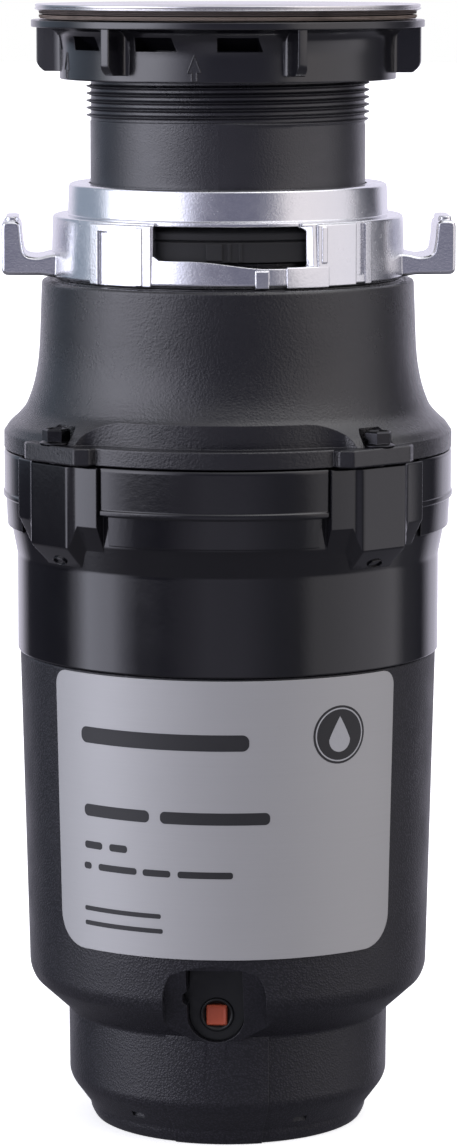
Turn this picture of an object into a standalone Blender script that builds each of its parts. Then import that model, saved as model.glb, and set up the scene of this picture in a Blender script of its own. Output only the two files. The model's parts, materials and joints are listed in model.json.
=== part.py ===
"""Kitchen garbage disposal, as separate named solids at their places in the assembled machine.

The origin lies on the machine's axis in the plane it stands on. +Z points up along the axis to the
sink flange, and the reset button and the label face -Y. The design is written in millimetres, and
every vertex is scaled to metres as its mesh is made.
"""

import math

import bmesh
import bpy
from mathutils import Matrix

MM = 0.001
GAP = 0.3
ROUND_STEPS = 32

# Heights above the plane the machine stands on.
STEP_LOW = 11.4
STEP_TOP = 34.2
SHELL_LOW = 44.8
SEAM = 143.5
TAPER_LOW = 172.5
PAD_LEDGE = 190.0
SPLIT = 204.2
FLANGE_BAND_TOP = 209.6
HOPPER_TOP = 254.6
RING_LOW = 255.0
RING_STEP = 273.8
RING_TOP = 283.0
THREAD_LOW = 300.8
NUT_LOW = 313.6
NUT_RIM_LOW = 328.9
NUT_TOP = 331.0
STEEL_EDGE_LOW = 333.6
STEEL_LOW = 333.9
TOP = 335.6

# Radii of the outer surfaces.
BASE_R = 41.5
STEP_R = 48.1
SHELL_LOW_R = 60.0
SHELL_TOP_R = 62.4
HOUSING_R = 63.1
PAD_R = 66.9
FLANGE_R = 66.3
HOPPER_R = 55.8
RING_R = 52.4
COLLAR_R = 47.3
HOOK_R = 67.2
THROAT_R = 40.8
THREAD_R = 42.0
NUT_R = 49.6
NUT_RIM_R = 58.2
STEEL_EDGE_R = 56.2
STEEL_R = 57.15

THREAD_PITCH = 2.13
WALL = 2.4

# Four bolts clamp the hopper to the motor housing.
BOLT_CIRCLE_R = 64.0
BOLT_ANGLES = (45.0, 135.0, 225.0, 315.0)
BOLT_HOLE_R = 2.9
BOLT_R = 2.5

# The mounting ring rests turned from the front by this angle, and the nut's first rib by its own.
RING_TURN = 5.6
WINDOW_HALF_ANGLE = 24.0
NUT_RIB_TURN = 25.8
NUT_RIBS = 6

# The drain leaves at the back, and its elbow turns down.
PORT_Z = 187.0
PORT_FACE_Y = 72.0
PORT_R = 13.8
ELBOW_R = 19.0
ELBOW_BORE_R = 16.6
ELBOW_REACH = 104.0
ELBOW_BEND_R = 26.0
ELBOW_LOW = 121.0

# The dishwasher inlet points backwards and sideways from the hopper.
INLET_Z = 238.0
INLET_TURN = 148.0

# The grinding plate carries two swivelling lugs.
PLATE_LOW = 206.4
PLATE_TOP = 208.4
PLATE_R = 51.4
IMPELLER_PIVOT_R = 34.0
IMPELLER_PIN_R = 2.95
IMPELLER_BORE_R = 3.0
IMPELLER_REACH = 15.2

# The motor's parts, from the axis outwards.
SHAFT_R = 6.0
ARMATURE_R = 38.6
ARMATURE_SLOTS = 12
MAGNET_R = 39.6
FLUX_R = 45.8
FLUX_OUTER_R = 51.0
MOTOR_SCREW_CIRCLE_R = 53.8

# The reset button and the recess it sits in, at the front.
BUTTON_Z = 41.0
BUTTON_HALF = 3.1
BUTTON_FRONT_Y = -48.0
BUTTON_BACK_Y = -44.8
SWITCH_FRONT_Y = -42.6
RECESS_HALF = 8.3
RECESS_FLOOR_Y = -46.4
RECESS_TOP = 57.0

# A plain panel rises from the step and leans out to meet the can around that recess.
PANEL_HALF = 15.2
PANEL_LOW = 33.5
PANEL_LOW_Y = -48.7
PANEL_TOP = 59.0
PANEL_TOP_Y = -60.5

PLASTIC_BLACK = ((0.012, 0.012, 0.013), 0.28, 0.0)
GLOSS_BLACK = ((0.008, 0.008, 0.009), 0.1, 0.0)
TEXTURED_BLACK = ((0.02, 0.02, 0.021), 0.45, 0.0)
RUBBER_BLACK = ((0.03, 0.03, 0.03), 0.75, 0.0)
STAINLESS = ((0.72, 0.71, 0.69), 0.22, 1.0)
CAST_ALUMINIUM = ((0.62, 0.63, 0.64), 0.38, 1.0)
ZINC_STEEL = ((0.55, 0.55, 0.56), 0.35, 1.0)
BLACK_STEEL = ((0.05, 0.05, 0.05), 0.4, 1.0)
LAMINATED_STEEL = ((0.35, 0.36, 0.38), 0.45, 1.0)
COPPER = ((0.72, 0.33, 0.18), 0.35, 1.0)
FERRITE = ((0.08, 0.08, 0.085), 0.6, 0.0)
CARBON = ((0.04, 0.04, 0.045), 0.5, 0.0)
FIBRE_TAN = ((0.33, 0.26, 0.2), 0.8, 0.0)
LABEL_GREY = ((0.4, 0.41, 0.42), 0.35, 0.6)
BUTTON_RED = ((0.75, 0.1, 0.03), 0.4, 0.0)
GROUND_GREEN = ((0.05, 0.35, 0.1), 0.35, 0.0)
BOARD_GREEN = ((0.03, 0.2, 0.08), 0.5, 0.0)


def clear_scene():
    for old in list(bpy.data.objects):
        bpy.data.objects.remove(old, do_unlink=True)


def finish_material(name, finish):
    """A Principled material with the given colour, roughness and metallic value."""
    colour, roughness, metallic = finish
    material = bpy.data.materials.new(name)
    material.use_nodes = True
    shader = material.node_tree.nodes["Principled BSDF"]
    shader.inputs["Base Color"].default_value = (*colour, 1.0)
    shader.inputs["Roughness"].default_value = roughness
    shader.inputs["Metallic"].default_value = metallic
    return material


def mesh_of(bm, name):
    """The closed mesh of a bmesh drawn in millimetres, in metres and with its faces pointing out."""
    bmesh.ops.recalc_face_normals(bm, faces=bm.faces)
    bm.transform(Matrix.Scale(MM, 4))
    mesh = bpy.data.meshes.new(name)
    bm.to_mesh(mesh)
    bm.free()
    mesh.shade_smooth()
    mesh.set_sharp_from_angle(angle=math.radians(35))
    return mesh


def add_piece(name, bm, finish, place=(0.0, 0.0, 0.0), turn=0.0, parent=None):
    """One visible sub-part, at its place in millimetres and turned about Z in degrees."""
    piece = bpy.data.objects.new(name, mesh_of(bm, name))
    piece.data.materials.append(finish_material(name, finish))
    bpy.context.scene.collection.objects.link(piece)
    piece.location = [MM * value for value in place]
    piece.rotation_euler = (0.0, 0.0, math.radians(turn))
    if parent:
        piece.parent = parent
    return piece


def add_pivot(name, place):
    """An empty on a joint's axis, which the pieces of a moving body hang from."""
    pivot = bpy.data.objects.new(name, None)
    bpy.context.scene.collection.objects.link(pivot)
    pivot.location = [MM * value for value in place]
    return pivot


def reshape(piece, operation, bm):
    """Joins a shape to the piece or cuts it out, with a hidden helper in the piece's own frame."""
    label = f"{piece.name}_{operation.lower()}_{len(piece.modifiers)}"
    helper = bpy.data.objects.new(label, mesh_of(bm, label))
    bpy.context.scene.collection.objects.link(helper)
    helper.parent = piece
    helper.hide_render = True
    helper.display_type = "WIRE"
    modifier = piece.modifiers.new(label, "BOOLEAN")
    modifier.operation = operation
    modifier.solver = "EXACT"
    modifier.object = helper


def cut(piece, bm):
    reshape(piece, "DIFFERENCE", bm)


def join(piece, bm):
    reshape(piece, "UNION", bm)


def turned(profile, steps=ROUND_STEPS):
    """Revolves a closed outline of (radius, height) points about Z."""
    bm = bmesh.new()
    rings = []
    for radius, height in profile:
        if radius == 0.0:
            rings.append([bm.verts.new((0.0, 0.0, height))] * steps)
            continue
        angles = [2 * math.pi * step / steps for step in range(steps)]
        rings.append([bm.verts.new((radius * math.cos(a), radius * math.sin(a), height)) for a in angles])
    for ring, after in zip(rings, rings[1:] + rings[:1]):
        for step in range(steps):
            corners = (ring[step - 1], ring[step], after[step], after[step - 1])
            distinct = list(dict.fromkeys(corners))
            if len(distinct) > 2:
                bm.faces.new(distinct)
    return bm


def sector(profile, middle, half, steps=6):
    """Revolves a closed outline about Z through the angles within half of the middle, with flat ends.

    Angles are in degrees from the front, -Y, and grow towards +X.
    """
    bm = bmesh.new()
    rings = []
    for step in range(steps + 1):
        angle = math.radians(middle - half + 2 * half * step / steps)
        rings.append([bm.verts.new((r * math.sin(angle), -r * math.cos(angle), z)) for r, z in profile])
    for ring, after in zip(rings, rings[1:]):
        for index in range(len(profile)):
            bm.faces.new((ring[index - 1], ring[index], after[index], after[index - 1]))
    bm.faces.new(rings[0])
    bm.faces.new(rings[-1])
    return bm


def prism(outline, low, high):
    """Extrudes an outline of (x, y) points from one height to another."""
    bm = bmesh.new()
    floor = [bm.verts.new((x, y, low)) for x, y in outline]
    roof = [bm.verts.new((x, y, high)) for x, y in outline]
    for index in range(len(outline)):
        bm.faces.new((floor[index - 1], floor[index], roof[index], roof[index - 1]))
    bm.faces.new(floor)
    bm.faces.new(roof)
    return bm


def box(x, y, z):
    """A block between pairs of limits."""
    return prism([(x[0], y[0]), (x[1], y[0]), (x[1], y[1]), (x[0], y[1])], *z)


def rod(radius, low, high, steps=24):
    return turned([(0.0, low), (radius, low), (radius, high), (0.0, high)], steps)


def hole(radius, low, high, x, y, steps=12):
    """A cutter off the axis, turned so that no corner of it lies on a spoke of the piece it cuts."""
    return moved(rod(radius, low, high, steps), x, y, turn=7.0)


def tube(inner, outer, low, high, steps=ROUND_STEPS):
    return turned([(inner, low), (outer, low), (outer, high), (inner, high)], steps)


def polygon(sides, radius, turn=0.0):
    angles = [math.radians(turn) + 2 * math.pi * side / sides for side in range(sides)]
    return [(radius * math.cos(a), radius * math.sin(a)) for a in angles]


def arc(centre_r, centre_z, radius, start, end, steps=5):
    """Points of (radius, height) along an arc, its angles in degrees from outwards to up."""
    angles = [math.radians(start + (end - start) * step / steps) for step in range(steps + 1)]
    return [(centre_r + radius * math.cos(a), centre_z + radius * math.sin(a)) for a in angles]


def moved(bm, x=0.0, y=0.0, z=0.0, turn=0.0):
    """Turns a shape about Z by degrees and then shifts it."""
    bm.transform(Matrix.Translation((x, y, z)) @ Matrix.Rotation(math.radians(turn), 4, "Z"))
    return bm


def laid_back(bm):
    """Swings a shape drawn along +Z to point along +Y."""
    bm.transform(Matrix.Rotation(math.radians(-90), 4, "X"))
    return bm


def on_circle(radius, angle):
    """The (x, y) of a point at an angle in degrees from +X."""
    return radius * math.cos(math.radians(angle)), radius * math.sin(math.radians(angle))


def hex_bolt(head_across, head_height, washer_r, shank_r, shank_length, steps=12):
    """A hexagon flange bolt with its head's seat at height zero and its shank below."""
    shank = turned(
        [(0.0, -shank_length), (shank_r, -shank_length), (shank_r, 0.0), (washer_r, 0.0), (washer_r, 1.2),
         (0.0, 1.2)],
        steps,
    )
    return shank, prism(polygon(6, head_across / math.sqrt(3)), 1.0, head_height)


def pan_screw(head_r, head_height, shank_r, shank_length, steps=16):
    """A pan-head screw with its head's seat at height zero and its shank below."""
    return turned(
        [(0.0, -shank_length), (shank_r, -shank_length), (shank_r, 0.0), (head_r, 0.0),
         (head_r, 0.5 * head_height), (0.72 * head_r, head_height), (0.0, head_height)],
        steps,
    )


def coil(wire_r, coil_r, low, high, turns, sides=5):
    """A round-wire spring about Z between two heights, with flat ends."""
    per_turn = 10
    bm = bmesh.new()
    rings = []
    for step in range(turns * per_turn + 1):
        share = step / (turns * per_turn)
        angle = 2 * math.pi * turns * share
        centre_z = low + wire_r + (high - low - 2 * wire_r) * share
        ring = []
        for side in range(sides):
            round_wire = 2 * math.pi * side / sides
            radius = coil_r + wire_r * math.cos(round_wire)
            height = centre_z + wire_r * math.sin(round_wire)
            ring.append(bm.verts.new((radius * math.cos(angle), radius * math.sin(angle), height)))
        rings.append(ring)
    for ring, after in zip(rings, rings[1:]):
        for side in range(sides):
            bm.faces.new((ring[side - 1], ring[side], after[side], after[side - 1]))
    bm.faces.new(rings[0])
    bm.faces.new(rings[-1])
    return bm


def sink_flange():
    """Stainless trim: a flat rim whose turned-down edge meets the sink, and a funnel that lines the throat."""
    profile = [(37.2, 312.0), (38.0, 312.0), (38.0, 330.6), (38.6, 332.4), (40.2, STEEL_LOW),
               (STEEL_EDGE_R, STEEL_LOW), (STEEL_EDGE_R, STEEL_EDGE_LOW), (STEEL_R, STEEL_EDGE_LOW),
               (STEEL_R, 335.0), (STEEL_R - 0.7, TOP), (42.0, 335.0), (38.6, 333.8), (37.2, 331.0)]
    add_piece("sink_flange", turned(profile), STAINLESS)


def thread_column(share, turns):
    """Root and crest points of the thread up one side of the tube, at a share of a full turn.

    The thread is one right-hand helix, so each column starts a share of the pitch higher.
    """
    points = []
    for row in range(2 * turns + 1):
        height = THREAD_LOW + THREAD_PITCH * (0.5 * row + share)
        points.append((THREAD_R if row % 2 else THROAT_R, height))
    return points


def sink_flange_throat(steps=24, turns=12):
    """The threaded plastic tube under the rim, with the lip that the mounting ring hangs on."""
    below = [(38.9, 268.2), (THROAT_R, 268.2), (THROAT_R, 275.2), (44.4, 275.2), (44.4, 278.6),
             (THROAT_R, 278.6)]
    above = [(THROAT_R, 331.3), (47.0, 331.3), (47.0, 333.5), (40.7, 333.5), (38.9, 330.4), (38.9, 299.6),
             (35.8, 299.6), (35.8, 297.0)]
    bm = bmesh.new()
    columns = []
    for step in range(steps):
        angle = 2 * math.pi * step / steps
        profile = below + thread_column(step / steps, turns) + above
        columns.append([bm.verts.new((r * math.cos(angle), r * math.sin(angle), z)) for r, z in profile])
    first = len(below)
    last = first + 2 * turns
    for column, after in zip(columns, columns[1:]):
        for index in range(len(column)):
            bm.faces.new((column[index - 1], column[index], after[index], after[index - 1]))
    start, end = columns[0], columns[-1]
    for index in list(range(first)) + list(range(last + 2, len(start))):
        bm.faces.new((end[index - 1], end[index], start[index], start[index - 1]))
    for index in range(first + 1, last - 1):
        bm.faces.new((end[index - 1], end[index], start[index + 2], start[index + 1]))
    bm.faces.new((end[first - 1], end[first], start[first + 2], start[first + 1], start[first],
                  start[first - 1]))
    bm.faces.new((end[last - 2], end[last - 1], end[last], end[last + 1], start[last + 1], start[last]))
    add_piece("sink_flange_throat", bm, PLASTIC_BLACK)


def splash_guard():
    """Rubber baffle that drops into the throat: a wall and a dished diaphragm cut into flaps."""
    profile = [(36.8, 299.9), (36.8, 309.5), (35.2, 309.5), (34.4, 304.6), (20.0, 302.4), (6.0, 300.6),
               (6.0, 299.0), (20.0, 300.8), (34.2, 302.9)]
    guard = add_piece("splash_guard", turned(profile), RUBBER_BLACK)
    flaps = 6
    for flap in range(flaps):
        slit = moved(box((4.0, 31.0), (-0.5, 0.5), (290.0, 320.0)), turn=360 * flap / flaps)
        cut(guard, slit)


def gaskets():
    """The rubber seal under the steel rim and the fibre ring that rides on the nut."""
    add_piece("rim_gasket", tube(47.4, 55.9, 332.75, 333.6), RUBBER_BLACK)
    add_piece("fibre_gasket", tube(47.4, 55.9, 331.35, 332.45), FIBRE_TAN)


def mounting_nut():
    """Plastic nut with a wide rim, six wing ribs, pockets in its cone and one plain sector."""
    bore_r = THREAD_R + 0.35
    profile = [(bore_r, NUT_LOW), (49.9, NUT_LOW), (NUT_R, 314.6), (NUT_R, 322.0), (48.7, 322.3),
               (51.0, 328.4), (NUT_RIM_R, NUT_RIM_LOW), (NUT_RIM_R, NUT_TOP), (bore_r, NUT_TOP)]
    nut = add_piece("mounting_nut", turned(profile), PLASTIC_BLACK)
    plain = [(45.0, 320.0), (NUT_R, 320.0), (NUT_R, NUT_RIM_LOW + 0.6), (45.0, NUT_RIM_LOW + 0.6)]
    join(nut, sector(plain, NUT_RIB_TURN + 15.7, 15.7))
    rib = [(47.0, 315.6), (55.4, 315.6), (57.4, 317.6), (57.4, NUT_RIM_LOW + 0.4), (47.0, NUT_RIM_LOW + 0.4)]
    for index in range(NUT_RIBS):
        rib_angle = NUT_RIB_TURN + 360 * index / NUT_RIBS
        join(nut, sector(rib, rib_angle, 1.55, 1))
        if index == 0:
            continue
        for offset in (13.0, 41.8):
            pocket = [(46.6, 322.5), (54.0, 322.5), (54.0, 326.2), (46.6, 326.2)]
            cut(nut, sector(pocket, rib_angle + offset, 7.2, 2))


def hook_outline():
    """The side view of a hook in (distance out, height): an arm with an upright end."""
    return [(49.9, RING_LOW), (60.0, 256.2), (HOOK_R - 0.8, 256.2), (HOOK_R, 257.5), (HOOK_R, 272.2),
            (HOOK_R - 0.8, 273.0), (61.6, 273.0), (61.0, 272.2), (61.0, 263.6), (60.0, 262.4), (50.4, 262.4)]


def mounting_ring():
    """Cast ring that hangs the machine on the throat's lip: two windows, two hooks, cam ledges inside."""
    inner_r = 49.9
    profile = [(41.3, 279.0), (45.2, 279.0), (45.2, 272.8), (inner_r, 271.4), (inner_r, RING_LOW),
               (RING_R - 0.6, RING_LOW), (RING_R, RING_LOW + 0.6), (RING_R, RING_STEP - 0.5),
               (RING_R - 0.5, RING_STEP), (COLLAR_R, RING_STEP), (COLLAR_R, RING_TOP - 0.6),
               (COLLAR_R - 0.6, RING_TOP), (41.3, RING_TOP)]
    ring = add_piece("mounting_ring", turned(profile), CAST_ALUMINIUM, turn=RING_TURN)
    for side in (0.0, 180.0):
        outline = hook_outline()
        hook = prism(outline, -12.0, 12.0)
        hook.transform(Matrix.Rotation(math.radians(90), 4, "X"))
        join(ring, moved(hook, turn=side))
        window = [(46.2, 261.6), (60.0, 261.6), (60.0, 272.2), (50.4, 272.2)]
        cut(ring, sector(window, side, WINDOW_HALF_ANGLE, 8))
        ledge = [(46.6, RING_LOW + 0.1), (50.4, RING_LOW + 0.1), (50.4, 258.1), (46.6, 258.1)]
        join(ring, sector(ledge, 90.0 + side, 17.0))


def cushion_mount():
    """Rubber ring between the hopper's neck and the throat's lip, with a groove and two keys."""
    profile = [(42.5, 262.3), (48.7, 262.3), (48.7, 268.2), (48.1, 268.6), (48.7, 269.0), (48.7, 270.8),
               (44.6, 272.3), (44.6, 274.8), (42.5, 274.8)]
    cushion = add_piece("cushion_mount", turned(profile), RUBBER_BLACK)
    for side in (0.0, 180.0):
        key = [(47.0, 262.8), (49.4, 262.8), (49.4, 268.0), (47.0, 268.0)]
        join(cushion, sector(key, side, 2.9, 1))


def hopper_outline():
    outer = [(FLANGE_R, SPLIT + GAP), (FLANGE_R, 208.6), (64.6, 212.0), (60.6, 215.5), (57.9, 222.8),
             (56.1, 229.4), (HOPPER_R, 234.0)]
    shoulder = arc(HOPPER_R - 2.8, HOPPER_TOP - 2.8, 2.8, 0, 90, 2)
    neck = [(45.6, HOPPER_TOP), (45.6, 262.0), (43.0, 262.0), (43.0, HOPPER_TOP - WALL)]
    inner = [(50.4, HOPPER_TOP - WALL), (HOPPER_R - WALL, 248.0), (HOPPER_R - WALL, 216.2), (55.6, 216.2),
             (55.6, SPLIT + GAP)]
    return outer + shoulder + neck + inner


def hopper():
    """The feed chamber: a flared wall with a bolting flange, a ringed neck and the dishwasher inlet."""
    body = add_piece("hopper", turned(hopper_outline()), PLASTIC_BLACK)
    for angle in BOLT_ANGLES:
        x, y = on_circle(BOLT_CIRCLE_R, angle)
        lug = prism([(-8.0, -13.2), (5.2, -13.2), (6.8, -11.6), (6.8, 11.6), (5.2, 13.2), (-8.0, 13.2)],
                    SPLIT + GAP, FLANGE_BAND_TOP)
        join(body, moved(lug, x, y, turn=angle))
        cut(body, hole(5.8, FLANGE_BAND_TOP, 232.0, x, y, 16))
        cut(body, hole(BOLT_HOLE_R, SPLIT - 2, FLANGE_BAND_TOP + 2, x, y))
    for side in (0.0, 180.0):
        undercut = [(60.6, FLANGE_BAND_TOP), (75.0, FLANGE_BAND_TOP), (75.0, 216.0), (60.6, 216.0)]
        cut(body, sector(undercut, side, 33.0, 5))
    for side in (90.0, 270.0):
        ear = [(44.6, 258.5), (49.3, 258.5), (49.3, 261.4), (44.6, 261.4)]
        join(body, sector(ear, side + RING_TURN, 12.0))
    nipple = turned([(0.0, 50.0), (11.2, 50.0), (11.2, 68.0), (12.2, 70.0), (11.2, 74.0), (11.2, 80.0),
                     (0.0, 80.0)], 24)
    join(body, moved(moved(laid_back(nipple), z=INLET_Z), turn=180 - INLET_TURN))
    bore = moved(laid_back(rod(8.8, 40.0, 90.0)), z=INLET_Z)
    cut(body, moved(bore, turn=180 - INLET_TURN))


def inlet_plug():
    """The knock-out disc that closes the dishwasher inlet until it is used."""
    plug = turned([(0.0, 56.5), (8.5, 56.5), (8.5, 59.0), (2.0, 59.0), (0.0, 61.0)], 24)
    add_piece("inlet_plug", moved(moved(laid_back(plug), z=INLET_Z), turn=180 - INLET_TURN), PLASTIC_BLACK)


def grind_ring():
    """Fixed shredder ring: a steel band with a row of sharp-edged slots."""
    ring = add_piece("grind_ring", tube(52.4, 55.2, SPLIT + GAP, 215.8), ZINC_STEEL)
    slots = 12
    for index in range(slots):
        tooth = [(50.0, 209.0), (53.9, 209.0), (53.9, 217.0), (50.0, 217.0)]
        cut(ring, sector(tooth, 360 * index / slots, 4.0, 1))


def housing_outline():
    """The glossy middle housing: motor can below, drain sump above, the shaft's hub in the middle."""
    outer = [(HOUSING_R - 2.6, SEAM + GAP), (HOUSING_R, SEAM + GAP), (HOUSING_R, TAPER_LOW), (63.4, 175.0),
             (63.4, SPLIT)]
    sump = [(55.8, SPLIT), (55.8, 176.0), (52.0, 172.0), (18.0, 172.0), (16.0, 174.0), (14.0, 192.0),
            (7.0, 192.0)]
    motor = [(7.0, 176.6), (11.4, 176.6), (11.4, 166.0), (15.0, 166.0), (56.0, 167.4), (58.0, 165.0),
             (HOUSING_R - 2.6, 160.0)]
    return outer + sump + motor


def motor_housing():
    """Glossy moulding with four wide pads, four bolt bosses between them and the drain port."""
    housing = add_piece("motor_housing", turned(housing_outline()), GLOSS_BLACK)
    pad = [(60.0, TAPER_LOW + 0.4), (HOUSING_R, TAPER_LOW + 0.4), (65.5, 181.0), (66.2, PAD_LEDGE - 1.0),
           (PAD_R, PAD_LEDGE + 1.2), (PAD_R, SPLIT - 1.6), (PAD_R - 0.7, SPLIT - 0.2), (60.0, SPLIT - 0.2)]
    boss = [(59.0, 172.0), (62.5, 172.6), (69.8, 179.0), (69.8, SPLIT - 0.4), (59.0, SPLIT - 0.4)]
    for quarter in range(4):
        join(housing, sector(pad, 90 * quarter, 29.6, 5))
        join(housing, sector(boss, 45 + 90 * quarter, 7.9, 2))
    for angle in BOLT_ANGLES:
        x, y = on_circle(BOLT_CIRCLE_R, angle)
        cut(housing, hole(BOLT_HOLE_R, 184.0, SPLIT + 4, x, y))
        pocket = box((-4.7, 8.0), (-4.7, 4.7), (195.6, 200.4))
        cut(housing, moved(pocket, x, y, turn=angle))
    port = prism([(-21.0, 55.0), (21.0, 55.0), (24.0, 62.0), (31.0, 66.0), (31.0, PORT_FACE_Y),
                  (-31.0, PORT_FACE_Y), (-31.0, 66.0), (-24.0, 62.0)], 170.0, SPLIT - 0.8)
    join(housing, port)
    cut(housing, moved(laid_back(rod(PORT_R, 48.0, 90.0)), z=PORT_Z))
    for side in (-1, 1):
        cut(housing, moved(laid_back(rod(2.2, 64.0, 90.0, 12)), 26.0 * side, z=PORT_Z))
        x, y = on_circle(MOTOR_SCREW_CIRCLE_R, 90 + 90 * side)
        cut(housing, hole(2.4, 160.0, 168.9, x, y))


def clamp_bolts():
    """Each hopper bolt with the captive nut that it screws into, in the boss below."""
    for number, angle in enumerate(BOLT_ANGLES, 1):
        x, y = on_circle(BOLT_CIRCLE_R, angle)
        shank, head = hex_bolt(7.2, 4.4, 4.6, BOLT_R, 20.0)
        bolt = add_piece(f"clamp_bolt_{number}", shank, BLACK_STEEL, (x, y, FLANGE_BAND_TOP + 0.1), angle)
        join(bolt, head)
        nut = add_piece(f"clamp_nut_{number}", prism(polygon(4, 6.0, 45.0), 196.0, 200.0), ZINC_STEEL,
                        (x, y, 0.0), angle)
        cut(nut, rod(BOLT_HOLE_R, 190.0, 210.0, 12))


def drain_fitting():
    """Seal, clamp plate, elbow and two screws on the drain port at the back."""
    face = PORT_FACE_Y + GAP
    gasket = laid_back(tube(15.6, 20.0, 0.0, 2.0, 24))
    add_piece("drain_gasket", moved(gasket, y=face, z=PORT_Z), RUBBER_BLACK)
    corner = [(31.0, 9.0), (22.0, 14.0), (8.0, 23.0)]
    upper = corner + [(-x, y) for x, y in reversed(corner)]
    outline = upper + [(x, -y) for x, y in reversed(upper)]
    plate = add_piece("drain_plate", prism(outline, 0.0, 1.8), ZINC_STEEL, (0.0, PORT_FACE_Y + 5.0, PORT_Z))
    plate.rotation_euler = (math.radians(-90), 0.0, 0.0)
    cut(plate, rod(ELBOW_R + 0.5, -5.0, 5.0, 24))
    for number, side in enumerate((-1, 1), 1):
        cut(plate, hole(2.3, -5.0, 5.0, 26.0 * side, 0.0))
        screw = moved(laid_back(pan_screw(4.4, 3.0, 2.0, 12.0)), 26.0 * side, PORT_FACE_Y + 7.1, PORT_Z)
        add_piece(f"drain_screw_{number}", screw, ZINC_STEEL)
    drain_elbow(face + 2.0 + 0.1)


def drain_elbow(start_y):
    """The discharge elbow: a flanged tube swept round a quarter bend and down."""
    bend_y = ELBOW_REACH - ELBOW_BEND_R
    bend_z = PORT_Z - ELBOW_BEND_R
    stations = [(start_y, PORT_Z, 0.0, 22.4), (start_y + 2.2, PORT_Z, 0.0, 22.4),
                (start_y + 2.2, PORT_Z, 0.0, ELBOW_R)]
    for step in range(6):
        turn = math.pi / 2 * step / 5
        along = ELBOW_BEND_R * math.sin(turn)
        drop = ELBOW_BEND_R * math.cos(turn)
        stations.append((bend_y + along, bend_z + drop, turn, ELBOW_R))
    stations.append((ELBOW_REACH, ELBOW_LOW, math.pi / 2, ELBOW_R))
    bore = [(y, z, turn, ELBOW_BORE_R) for y, z, turn, radius in stations if radius == ELBOW_R][::-1]
    bore[-1] = (start_y, PORT_Z, 0.0, ELBOW_BORE_R)
    steps = 20
    bm = bmesh.new()
    rings = []
    for y, z, turn, radius in stations + bore:
        ring = []
        for step in range(steps):
            angle = 2 * math.pi * step / steps
            across = radius * math.cos(angle)
            up = radius * math.sin(angle)
            ring.append(bm.verts.new((across, y + up * math.sin(turn), z + up * math.cos(turn))))
        rings.append(ring)
    for ring, after in zip(rings, rings[1:] + rings[:1]):
        for step in range(steps):
            bm.faces.new((ring[step - 1], ring[step], after[step], after[step - 1]))
    add_piece("drain_elbow", bm, PLASTIC_BLACK)


def rotor(parent):
    """Everything that turns with the shaft: plate, lug pins, nut, armature, windings, commutator."""
    shaft = turned([(0.0, 48.0), (5.0, 48.0), (5.0, 60.0), (SHAFT_R, 60.0), (SHAFT_R, 200.0),
                    (5.0, 201.0), (5.0, 216.5), (4.2, 217.2), (0.0, 217.2)], 24)
    add_piece("rotor_shaft", shaft, ZINC_STEEL, parent=parent)
    plate = turned([(5.3, 201.2), (12.0, 201.2), (14.0, PLATE_LOW), (PLATE_R - 1.0, PLATE_LOW),
                    (PLATE_R, PLATE_LOW + 0.6), (PLATE_R, PLATE_TOP), (5.3, PLATE_TOP)])
    turntable = add_piece("turntable", plate, STAINLESS, parent=parent)
    for side in (-1, 1):
        cut(turntable, hole(3.3, 195.0, 215.0, IMPELLER_PIVOT_R * side, 0.0, 16))
        pin = turned([(0.0, 203.6), (4.8, 203.6), (4.8, PLATE_LOW - GAP), (IMPELLER_PIN_R, PLATE_LOW - GAP),
                      (IMPELLER_PIN_R, 216.4), (4.8, 216.4), (4.4, 218.0), (0.0, 218.0)], 24)
        number = 1 if side < 0 else 2
        pin = moved(pin, IMPELLER_PIVOT_R * side)
        add_piece(f"impeller_pin_{number}", pin, STAINLESS, parent=parent)
    hexagon = prism(polygon(6, 9.2), PLATE_TOP + GAP, 214.4)
    nut = add_piece("turntable_nut", hexagon, STAINLESS, parent=parent)
    cut(nut, rod(5.3, 200.0, 220.0))
    tooth = ((24.0, -0.2), (36.0, -0.2), (36.8, -0.06), (ARMATURE_R, -0.06), (ARMATURE_R, 0.3),
             (ARMATURE_R, 0.66), (36.8, 0.66))
    outline = []
    for slot in range(ARMATURE_SLOTS):
        outline += [on_circle(radius, 360 / ARMATURE_SLOTS * (slot + share)) for radius, share in tooth]
    core = add_piece("armature_core", prism(outline, 93.0, 133.0), LAMINATED_STEEL, parent=parent)
    cut(core, rod(SHAFT_R + GAP, 80.0, 140.0))
    upper = [(9.0, 133.4), (36.0, 133.4), (36.6, 137.0), (30.0, 144.0), (14.0, 145.0), (9.0, 142.0)]
    add_piece("winding_upper", turned(upper, 16), COPPER, parent=parent)
    lower = [(9.0, 92.6), (36.0, 92.6), (36.6, 90.0), (30.0, 84.8), (14.0, 84.0), (9.0, 86.0)]
    add_piece("winding_lower", turned(lower, 16), COPPER, parent=parent)
    bars = [(SHAFT_R + GAP, 67.6), (14.0, 67.6), (14.0, 80.6), (16.0, 81.2), (16.0, 83.2),
            (SHAFT_R + GAP, 83.2)]
    add_piece("commutator", turned(bars, 24), COPPER, parent=parent)
    skirt = [(SHAFT_R + 0.1, 193.0), (14.8, 193.0), (15.8, 189.6), (17.0, 190.0), (15.4, 196.0),
             (SHAFT_R + 0.1, 198.0)]
    add_piece("water_slinger", turned(skirt, 24), RUBBER_BLACK, parent=parent)


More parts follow.
